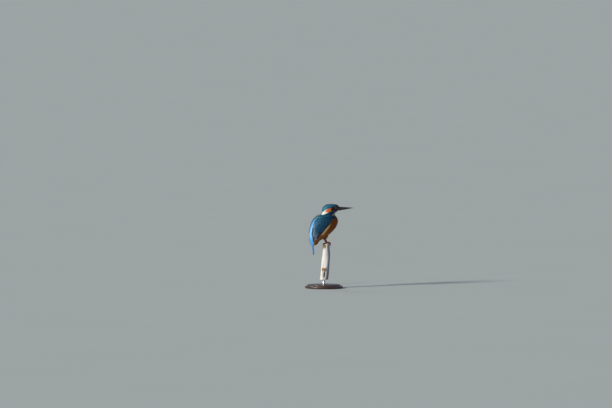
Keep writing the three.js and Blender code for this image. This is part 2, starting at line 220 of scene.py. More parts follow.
def volume(shape: Shape) -> float:
    """The shape's volume: a sixth of the sum, over its triangles, of the corners' triple product."""
    total = 0.0
    for faces in shape.faces:
        for k in range(1, faces.shape[1] - 1):
            a, b, c = (shape.places[faces[:, i]] for i in (0, k, k + 1))
            total += float(np.sum(a * np.cross(b, c))) / 6.0
    return total


def sweep(line: Array, side: Array, wide: Array, high: Array, sides: int, cap: float = 0.0) -> Shape:
    """A round bar along a line that bends in one plane.

    A ring's places are its middle plus side x wide x cos(angle) plus up x high x sin(angle), where up is at
    right angles to the line and to side.

    Args:
        line: The middles of the rings, (n, 3).
        side: The unit vector at right angles to the plane of the bend.
        wide: Half widths along side, (n,) or (n, sides).
        high: Half heights at right angles to it, (n,) or (n, sides).
        sides: How many places each ring has.
        cap: How far the end poles stand out.

    Returns:
        The closed bar.
    """
    ahead = unit(np.gradient(line, axis=0))
    up = unit(np.cross(ahead, side))
    angle = turns(sides)
    wide, high = (np.broadcast_to(v[:, None] if v.ndim == 1 else v, (len(line), sides)) for v in (wide, high))
    rings = (
        line[:, None]
        + side * (wide * np.cos(angle))[..., None]
        + up[:, None] * (high * np.sin(angle))[..., None]
    )
    return tube(rings, cap)


class Workbench:
    """Puts shapes into Blender as objects at the origin, with their place in the mesh."""

    def __init__(self, origin: Vector) -> None:
        """Args: origin: the middle of the stick's top in the frame, in metres."""
        self.origin = np.array(origin)

    def mesh(self, name: str, shape: Shape) -> bpy.types.Mesh:
        """The shape as a Blender mesh, in metres in the frame, with its layers and maps.

        Args:
            name: The mesh's name.
            shape: What to build.

        Returns:
            The new mesh, smooth shaded.
        """
        mesh = bpy.data.meshes.new(name)
        mesh.vertices.add(len(shape.places))
        mesh.vertices.foreach_set("co", (shape.places * MM + self.origin).astype(np.float32).ravel())
        corners = np.concatenate([f.ravel() for f in shape.faces]).astype(np.int32)
        totals = np.concatenate([np.full(len(f), f.shape[1]) for f in shape.faces])
        starts = np.concatenate([[0], np.cumsum(totals)[:-1]]).astype(np.int32)
        mesh.loops.add(len(corners))
        mesh.loops.foreach_set("vertex_index", corners)
        mesh.polygons.add(len(totals))
        mesh.polygons.foreach_set("loop_start", starts)
        mesh.update(calc_edges=True)
        mesh.shade_smooth()
        self.dress(mesh, shape.layers)
        for key, places in shape.maps.items():
            mesh.uv_layers.new(name=key).data.foreach_set("uv", places[corners].astype(np.float32).ravel())
        if shape.normals is not None:
            mesh.normals_split_custom_set(shape.normals.astype(np.float32))
        return mesh

    def dress(self, mesh: bpy.types.Mesh, layers: dict[str, Array]) -> None:
        """Gives a mesh's vertices their numbers and colours.

        Args:
            mesh: The mesh.
            layers: The attributes by name, (n,) for a number and (n, 3) for a colour.
        """
        for key, values in layers.items():
            kind, holds = ("FLOAT", "value") if values.ndim == 1 else ("FLOAT_COLOR", "color")
            if values.ndim > 1:
                values = np.concatenate([values, np.ones((len(values), 1))], axis=1)
            data = mesh.attributes.new(key, kind, "POINT").data
            data.foreach_set(holds, values.astype(np.float32).ravel())

    def places(self, mesh: bpy.types.Mesh) -> Array:
        """Where the mesh's vertices are, in millimetres from the middle of the stick's top."""
        found = np.empty(len(mesh.vertices) * 3, np.float32)
        mesh.vertices.foreach_get("co", found)
        return (found.reshape(-1, 3) - self.origin) / MM

    def combined(
        self, name: str, base: Shape, joined: Sequence[Shape], hollows: Sequence[Shape]
    ) -> bpy.types.Mesh:
        """One closed mesh of a shape, with others joined to it and hollows cut from it.

        Args:
            name: The mesh's name.
            base: The shape that the others meet.
            joined: What is joined to it.
            hollows: What is cut out of it at the end.

        Returns:
            The new mesh, smooth shaded.
        """
        linked = []
        for k, shape in enumerate((base, *joined, *hollows)):
            title = f"{name}_{k}"
            helper = bpy.data.objects.new(title, self.mesh(title, Shape(shape.places, shape.faces)))
            bpy.context.scene.collection.objects.link(helper)
            linked.append(helper)
        for k, helper in enumerate(linked[1:]):
            step = linked[0].modifiers.new(helper.name, "BOOLEAN")
            step.operation = "UNION" if k < len(joined) else "DIFFERENCE"
            step.solver = "MANIFOLD"
            step.object = helper
        graph = bpy.context.evaluated_depsgraph_get()
        mesh = bpy.data.meshes.new_from_object(linked[0].evaluated_get(graph))
        mesh.materials.clear()
        mesh.name = name
        mesh.shade_smooth()
        for helper in linked:
            spare = helper.data
            bpy.data.objects.remove(helper)
            bpy.data.meshes.remove(spare)
        return mesh

    def show(
        self, name: str, made: Shape | bpy.types.Mesh, finish: "Finish", slot: str, *stands_for: str
    ) -> None:
        """Shows a shape or a mesh as a piece of the object, riding on the frame's one body.

        Args:
            name: The piece's name.
            made: Its shape, or its mesh where that is made already.
            finish: What it is made of.
            slot: The record's material slot; not used.
            stands_for: The nodes of the frame that it takes the place of.
        """
        mesh = self.mesh(name, made) if isinstance(made, Shape) else made
        piece = bpy.data.objects.new(name, mesh)
        bpy.context.scene.collection.objects.link(piece)
        mesh.materials.append(finish.material)
        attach(piece, "root")
        if stands_for:
            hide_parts(*stands_for)
        LOG.info("%s: %d faces", name, len(mesh.polygons))


# Shaders


class Value:
    """A shader socket that holds a number and takes part in Python sums."""

    def __init__(self, graph: "Graph", socket: Socket) -> None:
        """Wraps a socket of that graph."""
        self.graph = graph
        self.socket = socket

    def __add__(self, other: "Value | float") -> "Value":
        """The sum."""
        return self.graph.maths("ADD", self, other)

    __radd__ = __add__

    def __sub__(self, other: "Value | float") -> "Value":
        """The difference."""
        return self.graph.maths("SUBTRACT", self, other)

    def __rsub__(self, other: "Value | float") -> "Value":
        """A number less this value."""
        return self.graph.maths("SUBTRACT", other, self)

    def __mul__(self, other: "Value | float") -> "Value":
        """The product."""
        return self.graph.maths("MULTIPLY", self, other)

    __rmul__ = __mul__

    def __pow__(self, other: "Value | float") -> "Value":
        """The power."""
        return self.graph.maths("POWER", self, other)

    def __abs__(self) -> "Value":
        """The size without the sign."""
        return self.graph.maths("ABSOLUTE", self)

    def sine(self) -> "Value":
        """The sine of the value in radians."""
        return self.graph.maths("SINE", self)

    def ramp(self, low: float, high: float) -> "Value":
        """0 at low, 1 at high and a smooth step between; low may be the larger."""
        settings = {"interpolation_type": "SMOOTHSTEP"}
        node = self.graph.node(
            "ShaderNodeMapRange", settings, {"Value": self, "From Min": low, "From Max": high}
        )
        return Value(self.graph, node.outputs["Result"])


class Graph:
    """A material's node tree, with its Principled shader."""

    def __init__(self, name: str) -> None:
        """Starts a new material of that name, with a bare Principled shader."""
        self.material = bpy.data.materials.new(name)
        self.material.use_nodes = True
        self.tree = self.material.node_tree
        self.shader = self.tree.nodes["Principled BSDF"]

    def node(self, kind: str, settings: dict | None = None, sockets: dict | None = None) -> bpy.types.Node:
        """A new node.

        Args:
            kind: Its type.
            settings: Its own properties, set first.
            sockets: What each input holds or is linked to, by name or number.

        Returns:
            The node.
        """
        made = self.tree.nodes.new(kind)
        for key, value in (settings or {}).items():
            setattr(made, key, value)
        for key, value in (sockets or {}).items():
            self.feed(made.inputs[key], value)
        return made

    def feed(self, socket: Socket, value: "Value | Socket | float | Colour") -> None:
        """Links a value or socket to an input, or sets a plain number or colour on it."""
        if isinstance(value, Value):
            value = value.socket
        if isinstance(value, Socket):
            self.tree.links.new(value, socket)
        elif isinstance(value, tuple) and len(value) == 3 and socket.type == "RGBA":
            socket.default_value = (*value, 1.0)
        else:
            socket.default_value = value

    def maths(self, operation: str, *values: "Value | float") -> Value:
        """One Math node on these values."""
        sockets = dict(enumerate(values))
        return Value(self, self.node("ShaderNodeMath", {"operation": operation}, sockets).outputs[0])

    def blend(self, share: "Value | float", low: object, high: object, how: str = "MIX") -> Socket:
        """A colour between two, by a Mix node of that blend type."""
        settings = {"data_type": "RGBA", "blend_type": how}
        return self.node("ShaderNodeMix", settings, {0: share, 6: low, 7: high}).outputs[2]

    def attribute(self, name: str) -> bpy.types.Node:
        """The attribute of that name, from the mesh."""
        return self.node("ShaderNodeAttribute", {"attribute_name": name})

    def number(self, name: str) -> Value:
        """A mesh attribute that holds a number."""
        return Value(self, self.attribute(name).outputs["Fac"])

    def colour(self, name: str) -> Socket:
        """A mesh attribute that holds a colour."""
        return self.attribute(name).outputs["Color"]

    def noise(self, scale: float, stretch: Place = (1.0, 1.0, 1.0), detail: float = 3.0) -> Value:
        """Noise on the object's own coordinates, in waves per metre, stretched by three factors."""
        where = self.node("ShaderNodeTexCoord").outputs["Object"]
        scaled = self.node("ShaderNodeMapping", None, {"Vector": where, "Scale": stretch}).outputs[0]
        settings = {"Vector": scaled, "Scale": scale, "Detail": detail}
        return Value(self, self.node("ShaderNodeTexNoise", None, settings).outputs[0])

    def on_map(self, name: str) -> tuple[Value, Value]:
        """The two coordinates of the mesh's UV map of that name."""
        place = self.node("ShaderNodeUVMap", {"uv_map": name}).outputs[0]
        parts = self.node("ShaderNodeSeparateXYZ", None, {0: place})
        return Value(self, parts.outputs[0]), Value(self, parts.outputs[1])

    def grey(self, level: Value) -> Socket:
        """A grey of that level."""
        return self.node("ShaderNodeCombineColor", None, {0: level, 1: level, 2: level}).outputs[0]

    def relief(self, height: Value, distance: float) -> None:
        """Feeds the shader's normal from a bump of that height, where 1 stands for a distance in metres."""
        sockets = {"Height": height, "Distance": distance, "Strength": 1.0}
        self.feed(self.shader.inputs["Normal"], self.node("ShaderNodeBump", None, sockets).outputs[0])

    def set(self, **sockets: object) -> None:
        """Sets or links the shader's inputs; an underscore stands for the space in a name."""
        for key, value in sockets.items():
            self.feed(self.shader.inputs[key.replace("_", " ")], value)


class Finish:
    """What a piece is made of."""

    name: str = "finish"

    @cached_property
    def material(self) -> bpy.types.Material:
        """The finish's material, built when it is first asked for."""
        graph = Graph(self.name)
        self.build(graph)
        return graph.material

    def build(self, graph: Graph) -> None:
        """Wires the graph. Each finish has its own."""
        raise NotImplementedError


@dataclass(frozen=True)
class FeatherFinish(Finish):
    """Feathers: their own shade, fine barbs that slant from a darker shaft, and a pale spot near the tip."""

    name: str = "feathers"
    spot: Colour = (0.050, 0.290, 0.430)
    barbs: float = 4.0  # pairs of barbs that show in each millimetre
    slant: float = 1.3  # how far a barb's end lies ahead of its root, over the half width
    shaft: float = 0.22  # how much darker the shaft is
    barb_depth: float = 0.006  # millimetres
    shine: float = 0.30  # how metallic the glossiest blue is

    def build(self, graph: Graph) -> None:
        """Shade times barbs and shaft, with the spot where 3 x across^2 + along^2 is small near the tip."""
        x, along = graph.on_map("Vane")
        aside = abs(x - 0.5) * 2.0
        length, width = graph.number("long"), graph.number("wide")
        barb = along * length - aside * width * self.slant
        comb = (barb * (self.barbs * 2 * math.pi)).sine() * 0.5 + 0.5
        shaft = aside.ramp(0.14, 0.02) * self.shaft
        spread = aside * aside * 3.0 + ((along - 0.85) * 6.2) ** 2.0
        spot = spread.ramp(1.0, 0.30) * graph.number("spot")
        coloured = graph.blend(spot, graph.colour("shade"), self.spot)
        lit = 1.04 - comb * 0.10 - shaft
        gloss = graph.number("gloss")
        graph.set(
            Base_Color=graph.blend(1.0, coloured, graph.grey(lit), "MULTIPLY"),
            Roughness=0.82 - gloss * 0.30,
            Metallic=gloss * self.shine,
            Specular_IOR_Level=0.22,
            Sheen_Weight=0.08,
            Sheen_Roughness=0.45,
        )
        graph.relief(comb, self.barb_depth * MM)


@dataclass(frozen=True)
class SkinFinish(Finish):
    """The bird's skin: down in the coat's own markings, and scaled bare skin on the legs and lids."""

    name: str = "skin"

    def build(self, graph: Graph) -> None:
        """Shade roughened with noise, smoother where bare is 1."""
        bare = graph.number("bare")
        grain = graph.noise(1800.0)
        scutes = graph.noise(900.0, (1.0, 1.0, 2.2), 1.0)
        tone = graph.grey(0.80 + grain * 0.4)
        graph.set(
            Base_Color=graph.blend(1.0, graph.colour("shade"), tone, "MULTIPLY"),
            Roughness=0.85 - bare * 0.40,
            Specular_IOR_Level=0.25,
        )
        graph.relief(grain * (1 - bare) + scutes * bare * 0.6, 0.08 * MM)


@dataclass(frozen=True)
class HornFinish(Finish):
    """Black horn with a fine grain along it and a satin surface."""

    name: str = "horn"
    dark: Colour = (0.012, 0.012, 0.014)
    pale: Colour = (0.045, 0.042, 0.042)
    roughness: float = 0.60
    stretch: Place = (0.12, 1.0, 1.0)

    def build(self, graph: Graph) -> None:
        """Two tones mixed by stretched noise."""
        grain = graph.noise(1500.0, self.stretch)
        graph.set(
            Base_Color=graph.blend(grain.ramp(0.35, 0.75), self.dark, self.pale),
            Roughness=self.roughness + grain * 0.12,
            Specular_IOR_Level=0.28,
        )
        graph.relief(grain, 0.02 * MM)


@dataclass(frozen=True)
class EyeFinish(Finish):
    """A very dark brown iris round a black pupil, under a wet clear surface."""

    name: str = "eye"
    iris: Colour = (0.012, 0.006, 0.004)

    def build(self, graph: Graph) -> None:
        """The iris colour where the mesh's pupil number is 0, and black where it is 1."""
        graph.set(
            Base_Color=graph.blend(graph.number("pupil"), self.iris, (0.001, 0.001, 0.001)),
            Roughness=0.06,
            IOR=1.38,
        )


@dataclass(frozen=True)
class BleachedWoodFinish(Finish):
    """Bare weathered wood: pale, with grey streaks and dark cracks along the grain, brown where worn, and
    painted shade down one side.
    """

    name: str = "bleached wood"
    pale: Colour = (0.65, 0.625, 0.575)
    # grey of the weathered streaks, and the blue-grey of the painted shade down one side
    grey: Colour = (0.145, 0.185, 0.310)
    crack: Colour = (0.07, 0.055, 0.045)
    tan: Colour = (0.27, 0.130, 0.028)
    # darker flecks where worn, and the darkest brown in the hollow under the stub
    rot: Colour = (0.045, 0.024, 0.012)

    def build(self, graph: Graph) -> None:
        """Pale to grey by long noise and by painted shade where the shaded number is high, darker in the
        cracks, then the two browns by their own numbers.
        """
        streak = graph.noise(260.0, (1.0, 1.0, 0.07), 5.0)
        fine = graph.noise(1500.0, (1.0, 1.0, 0.05), 3.0)
        blotch = graph.noise(55.0, (1.0, 1.0, 0.4), 2.0)
        shaded = graph.number("shaded")
        # shaded paints blue-grey shade down the side turned from the key light
        greyed_and_shaded = (streak * 0.6 + blotch * 0.4).ramp(0.50, 0.68) * 0.45 + shaded * 0.80
        tone = graph.blend(greyed_and_shaded, self.pale, self.grey)
        tone = graph.blend(fine.ramp(0.58, 0.72) * 0.35, tone, self.grey)
        tone = graph.blend(graph.number("crack"), tone, self.crack)
        worn = (graph.number("tan") * 1.2 + (streak - 0.5) * 2.0 + (blotch - 0.5) * 1.2).ramp(0.34, 1.10)
        tone = graph.blend(worn, tone, self.tan)
        tone = graph.blend(worn * fine.ramp(0.46, 0.62) * 0.6, tone, self.rot)
        tone = graph.blend(graph.number("rot"), tone, self.rot)
        graph.set(Base_Color=tone, Roughness=0.86)
        graph.relief(streak * 0.5 + fine * 0.5, 0.25 * MM)


@dataclass(frozen=True)
class TurnedWoodFinish(Finish):
    """Dark stained wood under satin varnish."""

    name: str = "turned wood"
    dark: Colour = (0.020, 0.010, 0.006)
    warm: Colour = (0.075, 0.034, 0.018)

    def build(self, graph: Graph) -> None:
        """Two browns by noise drawn out along the board."""
        grain = graph.noise(420.0, (0.06, 1.0, 1.0), 5.0)
        graph.set(
            Base_Color=graph.blend(grain.ramp(0.35, 0.70), self.dark, self.warm),
            Roughness=0.34 + grain * 0.10,
            Coat_Weight=0.35,
            Coat_Roughness=0.18,
        )
        graph.relief(grain, 0.03 * MM)


@dataclass(frozen=True)
class SteelFinish(Finish):
    """Plain brushed steel."""

    name: str = "steel"

    def build(self, graph: Graph) -> None:
        """Grey metal whose roughness follows fine noise round the rod."""
        brushed = graph.noise(900.0, (1.0, 1.0, 6.0))
        graph.set(Base_Color=(0.56, 0.56, 0.57), Metallic=1.0, Roughness=0.26 + brushed * 0.14)


# The body's form


@dataclass(frozen=True)
class Section:
    """A level section of the closed plumage: a superellipse, wider in front where egg is above 0."""

    z: float
    back: float
    front: float
    half: float
    full: float
    egg: float


SECTIONS = (
    Section(90.3, 11.5, 11.5, 0.0, 2.1, -0.1),  # crown's peak
    Section(89.0, 0.8, 23.0, 7.8, 2.15, -0.12),  # crown
    Section(87.0, -2.6, 27.4, 10.6, 2.2, -0.16),  # forehead
    Section(83.9, -6.6, 29.6, 12.6, 2.25, -0.2),  # brow
    Section(79.8, -9.3, 29.9, 13.6, 2.25, -0.2),  # eyes
    Section(75.8, -9.6, 29.0, 14.4, 2.2, -0.2),  # cheeks
    Section(71.9, -9.8, 25.8, 14.9, 2.15, -0.14),  # chin
    Section(67.8, -11.8, 20.8, 15.8, 2.1, -0.06),  # throat
    Section(63.8, -17.2, 20.9, 17.2, 2.1, 0.0),  # neck
    Section(57.5, -25.6, 25.8, 19.2, 2.1, 0.04),  # shoulders
    Section(48.0, -33.4, 27.4, 20.3, 2.1, 0.06),  # breast
    Section(35.0, -38.2, 22.0, 19.4, 2.05, 0.06),  # belly
    Section(23.0, -40.4, 10.6, 16.9, 2.0, 0.04),  # flanks
    Section(11.5, -40.7, -4.6, 13.0, 2.0, 0.0),  # vent
    Section(2.4, -38.9, -22.4, 9.8, 2.0, 0.0),  # rump
    Section(-2.4, -36.4, -28.6, 7.2, 2.0, 0.0),  # tail's root
    Section(-5.0, -32.6, -32.6, 0.0, 2.0, 0.0),  # its end
)


@dataclass
class BodyForm:
    """The closed outline of the plumage, out to the feather tips, as a surface of t and an angle."""

    sections: tuple[Section, ...] = SECTIONS
    head_turn: float = math.radians(-15.0)
    pivot_x: float = 4.6  # the head turns about the upright line here
    turn_from: float = 59.0
    turn_to: float = 73.0
    bill_root: Place = (31.0, 0.0, 79.0)  # with the head straight

    def __post_init__(self) -> None:
        """Adds a mirrored section past each pole, so that the poles are round, and a table of heights."""
        rows = np.array([astuple(section) for section in self.sections])
        beyond = rows[[1, -2]][:, [0, 2, 1, 3, 4, 5]] * [1, 1, 1, -1, 1, 1]
        self.rows = np.vstack([beyond[:1], rows, beyond[1:]])
        self.levels = np.linspace(0.0, 1.0, 4001)
        self.heights = self.measures(self.levels)[0]

    def measures(self, t: Array) -> Array:
        """The section at t, by a uniform Catmull-Rom spline through the sections.

        Args:
            t: From 0 at the crown's peak to 1 at the tail root's end.

        Returns:
            z, back, front, half, full and egg, each shaped as t.
        """
        last = len(self.rows) - 3
        at = np.clip(t, 0.0, 1.0 - 1e-9) * last
        k = at.astype(int)
        f = (at - k)[..., None]
        a, b, c, d = (self.rows[k + i] for i in range(4))
        value = b + 0.5 * f * (c - a + f * (2 * a - 5 * b + 4 * c - d + f * (3 * (b - c) + d - a)))
        return np.moveaxis(value, -1, 0)

    def level(self, z: Array) -> Array:
        """The t of the section at height z."""
        return np.interp(z, self.heights[::-1], self.levels[::-1])

    def turned(self, places: Array, sign: float = 1.0) -> Array:
        """Turns places with the head, by an angle that fades out down the neck; sign -1 turns them back."""
        angle = sign * self.head_turn * fade(places[..., 2], self.turn_from, self.turn_to)
        x, y, z = places[..., 0] - self.pivot_x, places[..., 1], places[..., 2]
        c, s = np.cos(angle), np.sin(angle)
        return packed(self.pivot_x + x * c - y * s, x * s + y * c, z)

    def surface(self, t: Array, angle: Array) -> Array:
        """The form's place at t and angle: the section's superellipse, turned with the head."""
        z, back, front, half, full, egg = self.measures(t)
        ahead = signed_power(np.cos(angle), 2 / full)
        aside = signed_power(np.sin(angle), 2 / full) * (1 + egg * ahead)
        x = (back + front) / 2 + (front - back) / 2 * ahead
        return self.turned(packed(x, half * aside, z))

    def normal(self, t: Array, angle: Array) -> Array:
        """The form's outward unit normal, from small steps both ways."""
        step = 1e-3
        t = np.clip(t, 2 * step, 1 - 2 * step)
        down = self.surface(t + step, angle) - self.surface(t - step, angle)
        turn = self.surface(t, angle + step) - self.surface(t, angle - step)
        return unit(np.cross(down, turn))

    def offset(self, t: Array, angle: Array, distance: Array) -> Array:
        """The form's place, moved out along the normal."""
        return self.surface(t, angle) + self.normal(t, angle) * np.asarray(distance)[..., None]

    def coat(self, places: Array) -> Array:
        """How deep the coat is at places: thin round the bill and on the face, deepest on the body."""
        return np.interp(self.from_bill(places), (5.0, 12.0, 24.0, 42.0), (0.28, 0.42, 0.70, 0.95))

    def from_bill(self, places: Array) -> Array:
        """How far places are from the middle of the bill's root."""
        return np.linalg.norm(self.turned(places, -1.0) - np.array(self.bill_root), axis=-1)

    def locate(self, places: Array) -> tuple[Array, Array]:
        """Finds places near the form, by their height and their bearing in the section.

        Args:
            places: Places, (..., 3).

        Returns:
            Their t and their angle.
        """
        x, y, z = np.moveaxis(self.turned(places, -1.0), -1, 0)
        t = np.clip(self.level(z), 0.0025, 0.9975)
        _, back, front, half, full, egg = self.measures(t)
        share = np.clip((2 * x - back - front) / (front - back), -1.3, 1.3)
        ahead = signed_power(share, full / 2)
        aside = signed_power(y / (half * (1 + egg * np.clip(share, -1, 1))), full / 2)
        return t, np.arctan2(aside, ahead)

    def angle_at_x(self, t: Array, x: Array) -> Array:
        """The angle at which the section's side reaches x in side view."""
        _, back, front, _, full, _ = self.measures(t)
        return np.arccos(signed_power(np.clip((2 * x - back - front) / (front - back), -1, 1), full / 2))

    def angle_at_y(self, t: Array, y: Array) -> Array:
        """The angle at which the section's back is y from the middle plane."""
        _, _, _, half, full, _ = self.measures(t)
        return np.pi - np.arcsin(np.minimum(1.0, y / half) ** (full / 2))


@dataclass
class WingForm:
    """A closed wing over the body: s runs from shoulder to tip, t from the lead edge to the inner edge."""

    form: BodyForm
    side: int
    lead: tuple[Pair, ...] = ((13.8, 61.5), (-5.6, 30.5), (-31.0, 3.0))
    inner_top: float = 64.5
    inner_end: float = 3.0
    strip: tuple[float, float, float] = (6.2, 7.6, 7.2)  # half the back's bare strip, from neck to wing tips
    clearance: float = 0.45
    edge: float = 0.75
    shoulder: float = 2.5
    tip: float = 1.0
    down_length: float = 150.0  # of the body's outline from the crown to the tail's root, down the side
    inner_lap: float = 2.4  # how far the back's feathers lap over the wing
    upper_lap: float = 4.0  # and the neck's
    lap_rise: float = 0.3  # how far those feathers stand over the wing's own
    sink: float = 1.4  # how deep the wing's first feathers root at the shoulder, under the neck's
    cover: Pair = (63.0, 4.5)  # between these heights the wing can hide the body's feathers

    def ground(self, s: Array, t: Array) -> tuple[Array, Array]:
        """The ground under the wing, straight from the lead edge, a curve, to the inner edge.

        Args:
            s: From the shoulder to the tip.
            t: From the lead edge to the inner edge.

        Returns:
            The body's t and its angle there.
        """
        s, t = np.broadcast_arrays(np.asarray(s, float), np.asarray(t, float))
        weights = ((1 - s) ** 2, 2 * s * (1 - s), s**2)
        front_x = sum(w * p[0] for w, p in zip(weights, self.lead))
        front_z = sum(w * p[1] for w, p in zip(weights, self.lead))
        inner_z = mix(self.inner_top, self.inner_end, s)
        half = np.interp(s, (0.0, 0.7, 1.0), self.strip)
        lead_angle = self.form.angle_at_x(self.form.level(front_z), front_x)
        inner_angle = self.form.angle_at_y(self.form.level(inner_z), half)
        return self.form.level(mix(front_z, inner_z, t)), self.side * mix(lead_angle, inner_angle, t)

    def thickness(self, s: Array, t: Array) -> Array:
        """How far the wing's outside stands over the body: thin at its edges, thickest at the shoulder."""
        s, t = np.clip(s, 0.0, 1.0), np.clip(t, 0.0, 1.0)
        rounded = fade(s, -0.02, 0.12) * np.sin(np.pi * t) ** 0.6
        return self.clearance + self.edge + mix(self.shoulder, self.tip, s) * rounded

    def surface(self, s: Array, t: Array, depth: Array = 0.0) -> Array:
        """The wing's outside at s and t, or a place that depth below it."""
        level, angle = self.ground(s, t)
        return self.form.offset(level, angle, self.thickness(s, t) - depth)

    def normal(self, s: Array, t: Array) -> Array:
        """The wing's outward unit normal: the body's own, leant by the wing's change of thickness."""
        step = 0.02
        along = self.surface(s + step, t) - self.surface(s - step, t)
        over = self.surface(s, np.clip(t + step, 0, 1)) - self.surface(s, np.clip(t - step, 0, 1))
        own = unit(np.cross(over, along)) * -self.side
        return unit(mix(own, self.form.normal(*self.ground(s, t)), fade(s, 0.80, 0.95)[..., None]))

    def above(self, t: Array, angle: Array) -> tuple[Array, Array]:
        """Where the body lies under the wing.

        Args:
            t: The body's t.
            angle: Its angle.

        Returns:
            How far the place is inside the wing's cover, in mm along the body, below 0 outside it, where the
            body's own feathers lap over the wing's inner and upper edges; and how high the wing's outside
            stands over the place, with a ramp up to it on every side.
        """
        s = np.linspace(0.0, 1.0, 201)
        lead_level, lead_angle = self.ground(s, np.zeros_like(s))
        inner_level, inner_angle = self.ground(s, np.ones_like(s))
        turn = angle * self.side
        low = np.interp(t, lead_level, lead_angle * self.side)
        high = np.interp(t, inner_level, inner_angle * self.side)
        half = self.form.measures(t)[3]
        lead_mm, inner_mm = (turn - low) * half, (high - turn) * half
        top, end = self.form.level(np.array(self.cover))
        top_mm, end_mm = (t - top) * self.down_length, (end - t) * self.down_length
        inside = np.min([lead_mm, inner_mm - self.inner_lap, top_mm - self.upper_lap, end_mm], axis=0)
        share = np.clip((turn - low) / np.maximum(high - low, 1e-3), 0.0, 1.0)
        along = np.clip((t - top) / (end - top), 0.0, 1.0)
        ramp = fade(lead_mm, -1.6, 0.6) * fade(inner_mm, -4.5, 0.5)
        ramp = ramp * fade(end_mm, -2.0, 2.0)
        height = (self.thickness(along, share) + self.lap_rise) * ramp
        return inside, height * fade(top_mm, -9.0, 2.5)


# Markings


@dataclass(frozen=True)
class Palette:
    """The plumage's colours, linear."""

    navy: Colour = (0.004, 0.018, 0.055)
    teal: Colour = (0.004, 0.050, 0.108)
    crown: Colour = (0.008, 0.062, 0.110)
    slate: Colour = (0.085, 0.130, 0.175)
    # painted sheen: the pale glint of light on the scapulars and on the quills' outer edges
    painted_sheen: Colour = (0.270, 0.300, 0.375)
    azure: Colour = (0.085, 0.320, 0.700)
    pale_azure: Colour = (0.260, 0.550, 0.840)
    turquoise: Colour = (0.075, 0.260, 0.320)
    orange: Colour = (0.235, 0.063, 0.006)
    # pale orange of the lower belly, and painted sunlight along the flanks under the wing
    buff_and_painted_sunlight: Colour = (0.900, 0.500, 0.180)
    ear: Colour = (0.610, 0.128, 0.007)
    cream: Colour = (0.740, 0.680, 0.590)
    black: Colour = (0.006, 0.008, 0.012)
    dusk: Colour = (0.028, 0.031, 0.040)
    coral: Colour = (0.300, 0.050, 0.020)


